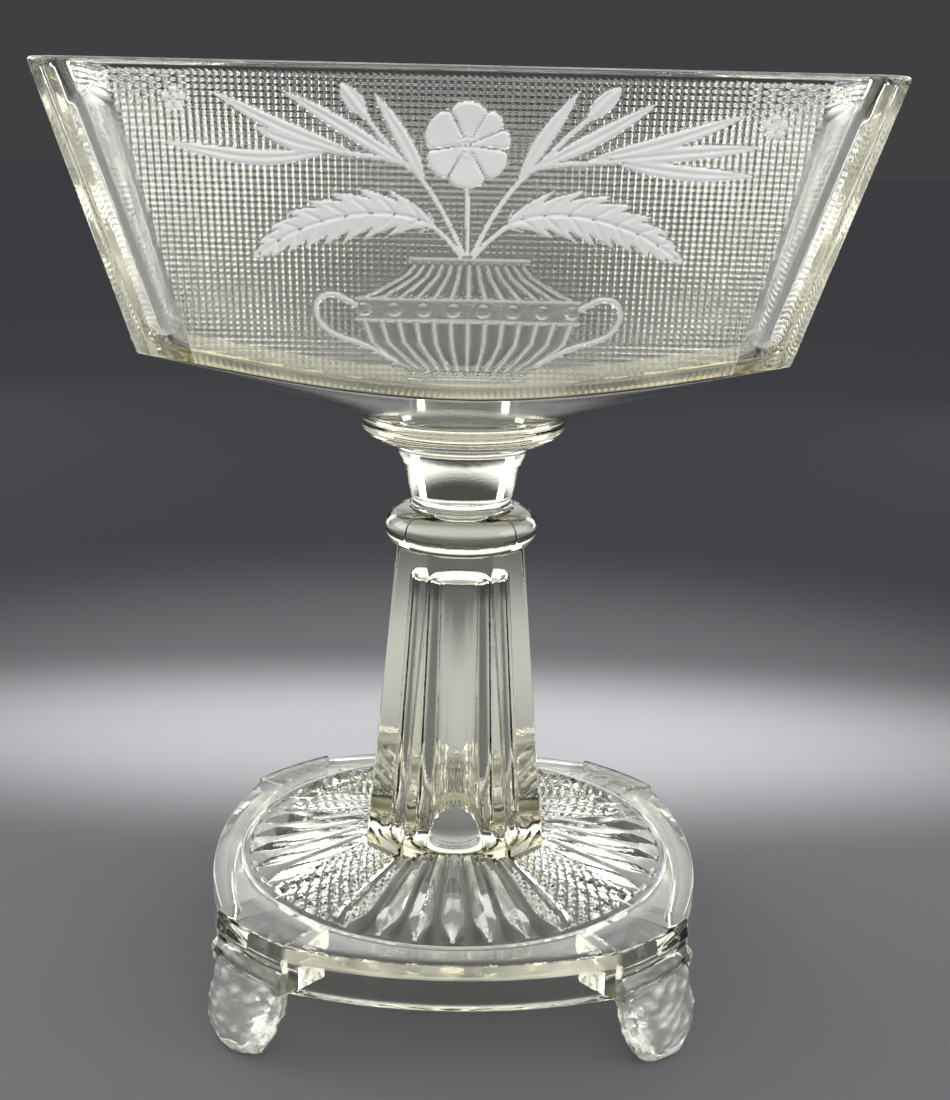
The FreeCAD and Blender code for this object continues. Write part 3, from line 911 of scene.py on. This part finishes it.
# Foot sections from the floor up: height, half width, half depth, distance from the axis
FOOT_SECTIONS = (
    (0.0, 5.0, 2.6, 76.6),
    (0.9, 7.6, 4.2, 76.6),
    (3.4, 9.6, 5.6, 76.6),
    (9.7, 12.1, 7.0, 75.7),
    (15.6, 12.7, 6.9, 73.9),
    (21.4, 12.8, 6.6, 72.0),
)
FOOT_STEPS = 5
FOOT_POINTS = 64
FOOT_LUMPS = 0.04
FOOT_LUMPS_ROUND = 5
FOOT_LUMP_TURN = 0.55
FOOT_DIMPLES = 0.035
FOOT_DIMPLES_ROUND = 8
FOOT_DIMPLE_TURN = 1.25
# Waves that make the dimples wander, as in a worn mould
FOOT_WANDER = 1.6
FOOT_WANDER_TURN = 0.7
FOOT_WANDER_ROUND = 3
FOOT_VEIL = 0.12
FOOT_FROST = 0.5
SHARP_ANGLE = 24

# Wafer between the two pressings
WAFER_POINTS = 96
WAFER_STEPS = 9
WAFER_BOTTOM_Z = 132.15
WAFER_TOP_Z = 133.75
WAFER_RADIUS = 13.6
WAFER_BULGE = 0.5
# Waves of its edge: depth, number and start
WAFER_WAVES = ((0.12, 2, 0.7), (0.07, 5, 0.0))
CHIP_HEADING = -48
CHIP_HALF_ANGLE = 0.09
CHIP_DEPTH = 0.7
CHIP_PLACE = 0.3
CHIP_REACH = 0.5


def field_height(r):
    slope = (COLUMN_FOOT_Z - LEDGE_Z) / (FIELD_RADIUS - COLUMN_FOOT_WIDTH / 2)
    return LEDGE_Z + slope * (FIELD_RADIUS - r)


def field_underside(r):
    return np.where(r < FIELD_RADIUS, field_height(r), LEDGE_Z) - PLATE_THICKNESS


FAN_COLUMNS = DIAMONDS_PER_ROW * DIAMOND_NET
RAY_ANGLE = (90 - 2 * FAN_HALF_ANGLE) / RAYS_PER_SIDE


def quarter_angles():
    """Degrees of one quarter's net columns from the side's middle: half a fan, the rays, half a fan."""
    fan = FAN_HALF_ANGLE * np.arange(FAN_COLUMNS) / FAN_COLUMNS
    ray_half = 45 - FAN_HALF_ANGLE
    rays = 2 * ray_half * np.arange(RAYS_PER_SIDE * RAY_COLUMNS) / (RAYS_PER_SIDE * RAY_COLUMNS)
    return np.concatenate((-45 + fan, -ray_half + rays, ray_half + fan))


BASE_ANGLES = quarter_angles()
OFF_DIAGONAL = 45 - np.abs(BASE_ANGLES)


def ray_half_width(r):
    share = np.clip((r - RAY_INNER_RADIUS) / (RAY_WIDE_RADIUS - RAY_INNER_RADIUS), 0, 1)
    straight = blend(RAY_INNER_HALF_WIDTH, RAY_WIDE_HALF_WIDTH, share)
    arch = np.clip((r - RAY_WIDE_RADIUS) / (RAY_TIP_RADIUS - RAY_WIDE_RADIUS), 0, 1)
    return straight * (1 - arch ** RAY_ARCH)


def ray_part(r):
    """Angles, heights and frost of the columns between two fans, at the radius r of each column."""
    number, column = np.divmod(np.arange(RAYS_PER_SIDE * RAY_COLUMNS), RAY_COLUMNS)
    place = column / RAY_COLUMNS * 2 - 1
    middle = (number - (RAYS_PER_SIDE - 1) / 2) * RAY_ANGLE
    true_half = ray_half_width(r)
    half = np.degrees(np.maximum(true_half, RAY_LEAST_HALF_WIDTH) / r)
    inside = np.abs(place) <= RAY_INSIDE_SHARE
    land = (np.abs(place) - RAY_INSIDE_SHARE) / (1 - RAY_INSIDE_SHARE)
    offset = np.where(inside, half * np.abs(place) / RAY_INSIDE_SHARE, half + (RAY_ANGLE / 2 - half) * land)
    share = np.radians(offset) * r / np.maximum(true_half, RAY_NO_HALF_WIDTH)
    rise = (RAY_RISE + RAY_SINK) * (true_half / RAY_WIDE_HALF_WIDTH) ** RAY_RISE_POWER
    height = np.where(share < 1, rise * (1 - share), 0) - RAY_SINK * (true_half > RAY_NO_HALF_WIDTH) * inside
    return middle + np.copysign(offset, place), height, RAY_FROST * (share < 1)


def fan_part(r, angles, height):
    """Heights with those of the diamond points, which grow with the radius, and of the kerbs beside them."""
    off_diagonal = 45 - np.abs(angles)
    growth = math.log(FAN_OUTER_RADIUS / FAN_INNER_RADIUS) / (2 * ROWS_PER_FAN)
    u = np.log(r / FAN_INNER_RADIUS) / growth
    v = (FAN_HALF_ANGLE + off_diagonal) / FAN_HALF_ANGLE * DIAMONDS_PER_ROW
    u_cell, v_cell = np.floor(u + NEAR_ZERO), np.floor(v + NEAR_ZERO)
    even = (u_cell + v_cell) % 2 == 0
    peak = np.where(even, np.abs(u - u_cell - v + v_cell), np.abs(1 - u + u_cell - v + v_cell))
    below_top = u < 2 * ROWS_PER_FAN + NEAR_ZERO
    in_fan = (off_diagonal <= FAN_HALF_ANGLE + NEAR_ZERO) & (u > -NEAR_ZERO) & below_top
    height = np.where(in_fan, DIAMOND_VALLEY + DIAMOND_HEIGHT * peak, height)
    kerb = FAN_KERB_HEIGHT * dome(np.radians(off_diagonal - FAN_HALF_ANGLE) * r, FAN_KERB_WIDTH)
    return np.where((u > -1) & below_top, np.maximum(height, kerb), height)


def field_ring(r):
    """Ring of the sunburst at radius r, which may have a value for each column, and its finish."""
    r = np.broadcast_to(np.asarray(r, dtype=float), BASE_ANGLES.shape)
    angles = BASE_ANGLES.copy()
    height, frost = np.zeros(r.shape), np.zeros(r.shape)
    rays = slice(FAN_COLUMNS, FAN_COLUMNS + RAYS_PER_SIDE * RAY_COLUMNS)
    angles[rays], height[rays], frost[rays] = ray_part(r[rays])
    return polar(r, field_height(r) + fan_part(r, angles, height), angles), frost


def polar(r, z, angles=BASE_ANGLES):
    """Ring of four like quarters from the values of one, the first about the side that faces the camera."""
    turns = np.radians(np.concatenate([angles + quarter * 90 - 90 for quarter in range(4)]))
    return circle(np.resize(r, turns.shape), np.resize(z, turns.shape), turns)


def least(radii, sharpness):
    """Radius inside several outlines, rounded where they cross."""
    radii = np.array(radii)
    near = radii.min(axis=0)
    return near * np.sum((near / radii) ** sharpness, axis=0) ** (-1 / sharpness)


def flat_sides(distance, angles, start):
    """Radius of a square of flat sides at a distance from the axis, the first side facing start."""
    off = (angles - start + 45) % 90 - 45
    return distance / np.cos(np.radians(off))


def column_outline(z):
    share = (z - COLUMN_FOOT_Z) / (RING_BOTTOM_Z - COLUMN_FOOT_Z)
    width = blend(COLUMN_FOOT_WIDTH, COLUMN_TOP_WIDTH, share)
    face = blend(COLUMN_FOOT_FACE, COLUMN_TOP_FACE, share)
    sides = flat_sides(width / 2, BASE_ANGLES, 0)
    corners = flat_sides((width + face) / 2 * math.sin(math.pi / 4), BASE_ANGLES, 45)
    return least((sides, corners), COLUMN_SHARPNESS)


def plate_outline(inset):
    """Radius of the bowed square, drawn in by inset."""
    half_side = PLATE_SIDE / 2 - inset * math.tan(math.radians(22.5))
    middle = PLATE_WIDTH / 2 - inset
    bend = (half_side ** 2 + PLATE_BOW ** 2) / (2 * PLATE_BOW)
    centre = middle - bend
    turns = np.radians((BASE_ANGLES + 45) % 90 - 45)
    bowed = centre * np.cos(turns) + np.sqrt(bend ** 2 - (centre * np.sin(turns)) ** 2)
    cut = flat_sides((middle - PLATE_BOW + half_side) * math.sin(math.pi / 4), BASE_ANGLES, 45)
    return least((bowed, cut), PLATE_SHARPNESS)


BLOCK_HALF_ANGLE = FAN_HALF_ANGLE * BLOCK_COLUMNS / FAN_COLUMNS
ON_BLOCK = OFF_DIAGONAL <= BLOCK_HALF_ANGLE + NEAR_ZERO
PROUD = np.where(ON_BLOCK, BLOCK_PROUD, 0)


def block_outline(z):
    """Radius of the corner block's moulded outer face at height z."""
    top = LEDGE_Z + BLOCK_PROUD
    radius = BLOCK_TOP_RADIUS + (BLOCK_BOTTOM_RADIUS - BLOCK_TOP_RADIUS) * (top - z) / (top - SKIRT_BOTTOM_Z)
    below = top - z - BLOCK_FACE
    cove = np.clip(below / BLOCK_COVE, 0, 1)
    radius -= BLOCK_COVE_DEPTH * math.sin(math.pi * cove)
    bead = (below - BLOCK_COVE) / BLOCK_BEAD
    if 0 < bead < 1:
        radius += BLOCK_BEAD_PROUD * math.sin(math.pi * bead) ** BLOCK_BEAD_POWER
    crown = BLOCK_CROWN * (1 - (OFF_DIAGONAL / BLOCK_HALF_ANGLE) ** 2)
    return (radius + crown) / np.cos(np.radians(OFF_DIAGONAL))


def outer_outline(z, inset=0.0):
    return np.where(ON_BLOCK, block_outline(z), plate_outline(0)) - inset


def cavity_rings():
    """Hollow of the column, from its top down to its mouth below the plate."""
    crown = (CAVITY_TOP_RADIUS - CAVITY_TOP_ROUNDING, CAVITY_TOP_Z)
    shoulder = (CAVITY_TOP_RADIUS, CAVITY_TOP_Z - CAVITY_TOP_ROUNDING)
    foot = (CAVITY_FOOT_RADIUS, CAVITY_FOOT_Z)
    mouth = (CAVITY_MOUTH_RADIUS, float(field_underside(CAVITY_MOUTH_RADIUS)))
    profile = [(crown[0] / 2, crown[1])]
    profile += oval_run(crown, shoulder, CAVITY_CROWN_STEPS)
    profile += bowed_run(shoulder, foot, 0, CAVITY_STEPS)
    profile += oval_run(mouth, foot, CAVITY_MOUTH_STEPS)[-2::-1]
    yield axis_point(CAVITY_TOP_Z), 0
    for r, z in profile:
        yield polar(r, z)[::COARSE], 0


def skirt_rings():
    """Underside of the plate, and the inner face and lower edge of its skirt."""
    inner = np.where(ON_BLOCK, flat_sides(BLOCK_INNER_RADIUS, BASE_ANGLES, 45), plate_outline(SKIRT_WALL))
    for share in UNDERSIDE_SHARES:
        r = blend(CAVITY_MOUTH_RADIUS, inner, share)
        yield polar(r, field_underside(r)), 0
    for out, drop in SKIRT_FILLET:
        yield polar(inner + out, field_underside(inner) - drop), 0
    for out, lift in SKIRT_EDGE:
        yield polar(inner + out, SKIRT_BOTTOM_Z + lift), 0


def edge_rings():
    """Outer faces of the skirt, the plate and the moulded blocks, from the bottom up to the ledge."""
    for inset, lift in ((PLATE_ROUNDING, 0.0), (PLATE_SOFT, PLATE_SOFT), (0.0, PLATE_ROUNDING)):
        z = SKIRT_BOTTOM_Z + lift
        yield polar(outer_outline(z, inset), z), 0
    low = SKIRT_BOTTOM_Z + PLATE_ROUNDING
    top = LEDGE_Z - PLATE_ROUNDING
    for share in even_steps(EDGE_RINGS):
        z = blend(low, top, share)
        straw = ~ON_BLOCK & (LEDGE_EDGE_LOW < z) & (z < LEDGE_EDGE_TOP)
        yield polar(outer_outline(z + BLOCK_PROUD * share), z + PROUD * share), EDGE_STRAW * straw
    for inset, drop in ((PLATE_SOFT, PLATE_SOFT), (PLATE_ROUNDING, 0.0)):
        yield polar(outer_outline(LEDGE_Z, inset), LEDGE_Z - drop + PROUD), 0


def ledge_rings():
    """Ledge round the sunburst, and the step from it to the sunburst's field."""
    rim = outer_outline(LEDGE_Z, PLATE_ROUNDING)
    for share, straw in zip(LEDGE_SHARES, LEDGE_STRAW):
        r = blend(rim, FIELD_RADIUS + LEDGE_INNER_GAP, share)
        clear = ON_BLOCK & (share < LEDGE_SHARES[-1])
        yield polar(r, LEDGE_Z + PROUD), np.where(clear, 0, straw * EDGE_STRAW)
    yield polar(FIELD_RADIUS + STEP_GAP, LEDGE_Z + PROUD), STEP_FROST
    for inset in STEP_INSETS:
        yield polar(FIELD_RADIUS - inset, LEDGE_Z + FIELD_STEP), STEP_FROST
    foot = FIELD_RADIUS - STEP_FOOT_INSET
    yield polar(foot, field_height(foot)), 0


def field_rings():
    """Sunburst, from its rim in to the foot of the column."""
    for r in FIELD_RIM_RADII:
        yield field_ring(r)
    net_rows = 2 * ROWS_PER_FAN * DIAMOND_NET
    for row in range(net_rows, -1, -1):
        yield field_ring(FAN_INNER_RADIUS * (FAN_OUTER_RADIUS / FAN_INNER_RADIUS) ** (row / net_rows))
    stand = column_outline(COLUMN_FOOT_Z)
    for share in FIELD_FOOT_SHARES:
        yield field_ring(blend(FAN_INNER_RADIUS, stand, share))


def column_rings():
    """Column up to where it meets the knop ring, then that ring with its mould seams and its seat."""
    stand = column_outline(COLUMN_FOOT_Z)
    for lift, out in COLUMN_FILLET:
        yield polar(stand + out, field_height(stand) + lift), 0
    base = field_height(stand) + COLUMN_FILLET[-1][0]
    equator = RING_TOP_Z - RING_EQUATOR_DROP
    bulge = RING_RADIUS - RING_BOTTOM_RADIUS
    meet = np.arcsin(np.clip((column_outline(RING_BOTTOM_Z) - RING_BOTTOM_RADIUS) / bulge, 0, 1))
    meet_z = blend(equator, RING_BOTTOM_Z, np.cos(meet))
    for share in even_steps(COLUMN_RINGS):
        yield polar(column_outline(blend(COLUMN_FOOT_Z, RING_BOTTOM_Z, share)), blend(base, meet_z, share)), 0
    seam = SEAM_HEIGHT * groove(np.radians(OFF_DIAGONAL) * RING_RADIUS, SEAM_WIDTH)
    for share in even_steps(LOWER_KNOP_RINGS):
        turn = blend(meet, math.pi / 2, share)
        r = RING_BOTTOM_RADIUS + bulge * np.sin(turn) + seam * share
        yield polar(r, blend(equator, RING_BOTTOM_Z, np.cos(turn))), 0
    for r, z in oval_run((RING_SEAT, RING_TOP_Z), (RING_RADIUS, equator), UPPER_KNOP_RINGS)[-2::-1]:
        yield polar(r + seam, z), 0
    for r in SEAT_RADII:
        yield polar(r, RING_TOP_Z)[::COARSE], 0
    yield axis_point(RING_TOP_Z), 0


def make_pedestal_body():
    parts = (cavity_rings(), skirt_rings(), edge_rings(), ledge_rings(), field_rings(), column_rings())
    rings, finish = zip(*[ring for part in parts for ring in part])
    return skin("glass_pedestal", rings, finish)


def make_foot(quarter):
    """Rounded tongue foot at one corner, lumpy and with dimples that gather light."""
    sections = curve(FOOT_SECTIONS, FOOT_STEPS)
    turns = 2 * math.pi * np.arange(FOOT_POINTS) / FOOT_POINTS
    heading = math.radians(45 + quarter * 90)
    outward = np.array([[math.cos(heading), math.sin(heading), 0]])
    rings = [outward * FOOT_SECTIONS[0][3]]
    finish = [0]
    for z, half_width, half_depth, radius in sections:
        lumps = math.sin(z * FOOT_LUMP_TURN + 1) * np.sin(FOOT_LUMPS_ROUND * turns + z / 3)
        dimples = np.sin(z * FOOT_DIMPLE_TURN + 2 * np.sin(FOOT_WANDER_ROUND * turns + quarter))
        wander = FOOT_WANDER * math.sin(z * FOOT_WANDER_TURN)
        dimples = dimples * np.sin(FOOT_DIMPLES_ROUND * turns - z / 2 + wander)
        uneven = 1 + FOOT_LUMPS * lumps + FOOT_DIMPLES * dimples
        out = radius + half_depth * np.cos(turns) * uneven
        across = half_width * np.sin(turns) * uneven
        x = out * math.cos(heading) - across * math.sin(heading)
        y = out * math.sin(heading) + across * math.cos(heading)
        rings.append(np.stack((x, y, np.full(FOOT_POINTS, max(z, 0.0))), axis=-1))
        finish.append(FOOT_VEIL + FOOT_FROST * np.clip(dimples, 0, 1))
    top_z, _, _, top_radius = sections[-1]
    rings.append(outward * top_radius + np.array([0, 0, top_z]))
    return skin("foot", rings, finish + [0])


def join(piece, others):
    """Makes one closed surface of a piece and others that reach into it."""
    for other in others:
        cut = piece.modifiers.new("join", "BOOLEAN")
        cut.operation = "UNION"
        cut.solver = "MANIFOLD"
        cut.object = other
    bpy.context.view_layer.update()
    made = bpy.data.meshes.new_from_object(piece.evaluated_get(bpy.context.evaluated_depsgraph_get()))
    piece.modifiers.clear()
    piece.data = made
    for other in others:
        bpy.data.objects.remove(other)
    made.materials.clear()
    made.shade_smooth()
    made.set_sharp_from_angle(angle=math.radians(SHARP_ANGLE))


def make_pedestal():
    body = make_pedestal_body()
    join(body, [make_foot(quarter) for quarter in range(4)])
    return body


def make_wafer():
    """Thin gather of glass between neck and ring, with a small chip in its edge."""
    angles = 2 * math.pi * np.arange(WAFER_POINTS) / WAFER_POINTS
    off_chip = (angles - math.radians(CHIP_HEADING) + math.pi) % (2 * math.pi) - math.pi
    chip = CHIP_DEPTH * np.exp(-(off_chip / CHIP_HALF_ANGLE) ** 4)
    bulge = WAFER_BULGE + sum(depth * np.cos(number * angles + start) for depth, number, start in WAFER_WAVES)
    middle = (WAFER_TOP_Z + WAFER_BOTTOM_Z) / 2
    half = (WAFER_TOP_Z - WAFER_BOTTOM_Z) / 2
    rings = [axis_point(WAFER_BOTTOM_Z), circle(WAFER_RADIUS - 1, WAFER_BOTTOM_Z, angles)]
    for turn in np.linspace(-1, 1, WAFER_STEPS):
        r = WAFER_RADIUS + bulge * math.cos(turn * math.pi / 2) - chip * groove(turn - CHIP_PLACE, CHIP_REACH)
        rings.append(circle(r, middle + half * math.sin(turn * math.pi / 2), angles))
    rings += [circle(WAFER_RADIUS - 1, WAFER_TOP_Z, angles), axis_point(WAFER_TOP_Z)]
    return skin("glass_wafer", rings)


def make_camera():
    forward = Vector((
        math.sin(CAMERA_YAW) * math.cos(CAMERA_PITCH),
        math.cos(CAMERA_YAW) * math.cos(CAMERA_PITCH),
        -math.sin(CAMERA_PITCH),
    ))
    right = Vector((math.cos(CAMERA_YAW), -math.sin(CAMERA_YAW), 0))
    up = right.cross(forward)
    rolled_right = right * math.cos(CAMERA_ROLL) + up * math.sin(CAMERA_ROLL)
    rolled_up = up * math.cos(CAMERA_ROLL) - right * math.sin(CAMERA_ROLL)
    data = bpy.data.cameras.new("camera")
    data.sensor_width = SENSOR_MM
    data.lens = FOCAL_PX * SENSOR_MM / IMAGE_HEIGHT_PX
    camera = add_object("camera", data)
    turned = Matrix((rolled_right, rolled_up, -forward)).transposed().to_4x4()
    place = Matrix.Translation((0, -CAMERA_DISTANCE_MM * MM, CAMERA_HEIGHT_MM * MM))
    camera.matrix_world = place @ turned
    bpy.context.scene.camera = camera


def node(tree, kind, operation=None, **inputs):
    """New node. An input is a value or a socket, and in_1 is the input with number 1."""
    made = tree.nodes.new(kind)
    if operation:
        made.operation = operation
    for name, value in inputs.items():
        socket = made.inputs[int(name[3:]) if name.startswith("in_") else name.replace("_", " ")]
        if isinstance(value, bpy.types.NodeSocket):
            tree.links.new(value, socket)
        else:
            socket.default_value = value
    return made


def new_material(name):
    material = bpy.data.materials.new(name)
    material.use_nodes = True
    tree = material.node_tree
    return material, tree, tree.nodes["Principled BSDF"], tree.nodes["Material Output"]


def mix_colours(tree, share, low_colour, high_colour):
    """Colour between two, by share. Inputs 6 and 7 are the node's colours."""
    mix = node(tree, "ShaderNodeMix", in_0=share, in_6=low_colour, in_7=high_colour)
    mix.data_type = "RGBA"
    return mix.outputs[2]


def ramp(tree, source, low, high, low_colour, high_colour):
    """Colour that goes smoothly from one to the other as source goes from low to high."""
    share = node(tree, "ShaderNodeMapRange", Value=source, From_Min=low, From_Max=high)
    share.interpolation_type = "SMOOTHERSTEP"
    return mix_colours(tree, share.outputs["Result"], low_colour, high_colour)


def make_floor():
    side = FLOOR_REACH
    mesh = bpy.data.meshes.new("floor")
    corners = [(-side, -side, 0), (side, -side, 0), (side, side, 0), (-side, side, 0)]
    mesh.from_pydata(corners, [], [(0, 1, 2, 3)])
    floor = add_object("floor", mesh)
    material, tree, shader, _ = new_material("floor")
    place = tree.nodes.new("ShaderNodeNewGeometry").outputs["Position"]
    far = node(tree, "ShaderNodeVectorMath", "LENGTH", in_0=place)
    # Painted shade: the floor's colour darkens with distance from the dish
    ground = ramp(tree, far.outputs["Value"], PAINTED_SHADE_START, PAINTED_SHADE_END, FLOOR_NEAR_PAINTED_SHADE, FLOOR_FAR_PAINTED_SHADE)
    drawn = node(tree, "ShaderNodeVectorMath", "MULTIPLY", in_0=place, in_1=PAINTED_LIGHT_STRETCH).outputs["Vector"]
    off_painted_light = node(tree, "ShaderNodeVectorMath", "DISTANCE", in_0=drawn, in_1=PAINTED_LIGHT_PLACE)
    # Painted pool of light: pale floor colour in an oval behind the dish
    colour = ramp(tree, off_painted_light.outputs["Value"], PAINTED_LIGHT_CORE, PAINTED_LIGHT_EDGE, FLOOR_PAINTED_LIGHT, ground)
    tree.links.new(colour, shader.inputs["Base Color"])
    shader.inputs["Roughness"].default_value = 1
    shader.inputs["Specular IOR Level"].default_value = 0
    mesh.materials.append(material)


def make_world():
    world = bpy.data.worlds.new("world")
    world.use_nodes = True
    tree = world.node_tree
    direction = tree.nodes.new("ShaderNodeTexCoord").outputs["Generated"]
    rise = node(tree, "ShaderNodeSeparateXYZ", in_0=direction).outputs["Z"]
    high = ramp(tree, rise, SKY_HIGH_SINE, SKY_ZENITH_SINE, SKY_TOP, SKY_ZENITH)
    sky = ramp(tree, rise, SKY_LOW_SINE, SKY_TOP_SINE, BACKDROP, high)
    to_camera = tree.nodes.new("ShaderNodeLightPath").outputs["Is Camera Ray"]
    seen = mix_colours(tree, to_camera, sky, BACKDROP)
    tree.links.new(seen, tree.nodes["Background"].inputs["Color"])
    bpy.context.scene.world = world


def add_light(name, kind, power, way):
    light = add_object(name, bpy.data.lights.new(name, kind))
    light.data.energy = power
    light.rotation_euler = way.to_track_quat("-Z", "Y").to_euler()
    return light


def make_lamp(name, place, size, power, strip):
    """Soft panel lamp that faces the dish. Only the strips behind it show through the glass."""
    lamp = add_light(name, "AREA", power, Vector(LAMP_AIM) - Vector(place))
    lamp.location = place
    lamp.data.shape = "RECTANGLE"
    lamp.data.size, lamp.data.size_y = size
    lamp.visible_camera = False
    lamp.visible_transmission = strip


def make_front_light():
    """Wide even light from the camera's side. Only matt surfaces take it, so it doesn't show in the glass."""
    light = add_light("front", "SUN", FRONT_LIGHT, -Vector(FRONT_FROM))
    light.data.angle = FRONT_SPREAD
    light.visible_glossy = False
    light.visible_transmission = False


def spread(tree, source, levels, results):
    """Number that goes from the first to the second of results as source goes through levels."""
    made = node(tree, "ShaderNodeMapRange", Value=source, From_Min=levels[0], From_Max=levels[1],
                To_Min=results[0], To_Max=results[1])
    return made.outputs["Result"]


def combine(tree, operation, a, b, clamp=False):
    """Math node on two sockets or numbers."""
    made = node(tree, "ShaderNodeMath", operation, in_0=a, in_1=b)
    made.use_clamp = clamp
    return made.outputs[0]


def noise(tree, source, scale, detail=0.0):
    return node(tree, "ShaderNodeTexNoise", Vector=source, Scale=scale, Detail=detail).outputs["Fac"]


def bump(tree, height, depth, **before):
    made = node(tree, "ShaderNodeBump", Height=height, Strength=1.0, Distance=depth, **before)
    return made.outputs["Normal"]


def make_glass(name):
    """Pressed glass with the long waves of a mould, a fine grain, dull patches and fine scratches.

    Where the points' finish says so it is frosted, or has the straw veil of a thick edge.
    """
    material, tree, shader, output = new_material(name)
    shader.inputs["Transmission Weight"].default_value = 1
    shader.inputs["IOR"].default_value = GLASS_IOR
    place = tree.nodes.new("ShaderNodeTexCoord").outputs["Object"]
    finish = tree.nodes.new("ShaderNodeAttribute")
    finish.attribute_name = "finish"
    frost = combine(tree, "MULTIPLY", finish.outputs["Fac"], FROSTED, True)
    straw = combine(tree, "MULTIPLY", finish.outputs["Fac"], EDGE_STRAW, True)
    patches = noise(tree, place, PATCH_SCALE, 1.0)
    drawn = node(tree, "ShaderNodeVectorMath", "MULTIPLY", in_0=place, in_1=SCRATCH_DRAW)
    scratches = noise(tree, drawn.outputs["Vector"], SCRATCH_SCALE)
    worn = spread(tree, scratches, SCRATCH_LEVELS, (0.0, SCRATCH_ROUGHNESS))
    uneven = spread(tree, patches, PATCH_LEVELS, PATCH_UNEVEN)
    skin_roughness = combine(tree, "ADD", combine(tree, "MULTIPLY", frost, FROSTED_ROUGHNESS),
                             combine(tree, "MULTIPLY", straw, STRAW_ROUGHNESS))
    skin_roughness = combine(tree, "MULTIPLY", skin_roughness, uneven)
    even = spread(tree, patches, PATCH_LEVELS, (0.0, CLEAR_ROUGHNESS))
    roughness = combine(tree, "ADD", combine(tree, "ADD", even, worn), skin_roughness, True)
    tree.links.new(roughness, shader.inputs["Roughness"])
    veil = combine(tree, "ADD", combine(tree, "MULTIPLY", frost, FROSTED_VEIL),
                   combine(tree, "MULTIPLY", combine(tree, "MULTIPLY", straw, STRAW_VEIL), uneven))
    tree.links.new(combine(tree, "SUBTRACT", 1.0, veil, True), shader.inputs["Transmission Weight"])
    tone = ramp(tree, straw, 0.0, 1.0, GLASS_TONE, STRAW_TONE)
    tree.links.new(tone, shader.inputs["Base Color"])
    waves = bump(tree, noise(tree, place, WAVE_SCALE), WAVE_DEPTH)
    grain = bump(tree, noise(tree, place, GRAIN_SCALE), GRAIN_DEPTH, Normal=waves)
    tree.links.new(grain, shader.inputs["Normal"])
    volume = node(tree, "ShaderNodeVolumeAbsorption", Color=STRAW, Density=STRAW_DENSITY)
    tree.links.new(volume.outputs["Volume"], output.inputs["Volume"])
    return material


make_camera()
make_floor()
make_world()
for lamp in LAMPS:
    make_lamp(*lamp)
make_front_light()
bowl = make_bowl()
bowl.data.materials.append(make_glass("bowl_glass"))
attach(bowl, "root")
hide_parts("bowl")
pedestal = make_pedestal()
pedestal.data.materials.append(make_glass("pedestal_glass"))
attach(pedestal, "root")
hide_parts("pedestal")
wafer = make_wafer()
wafer.data.materials.append(make_glass("wafer_glass"))
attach(wafer, "root")
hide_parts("wafer")
bpy.context.scene.view_settings.view_transform = "Standard"
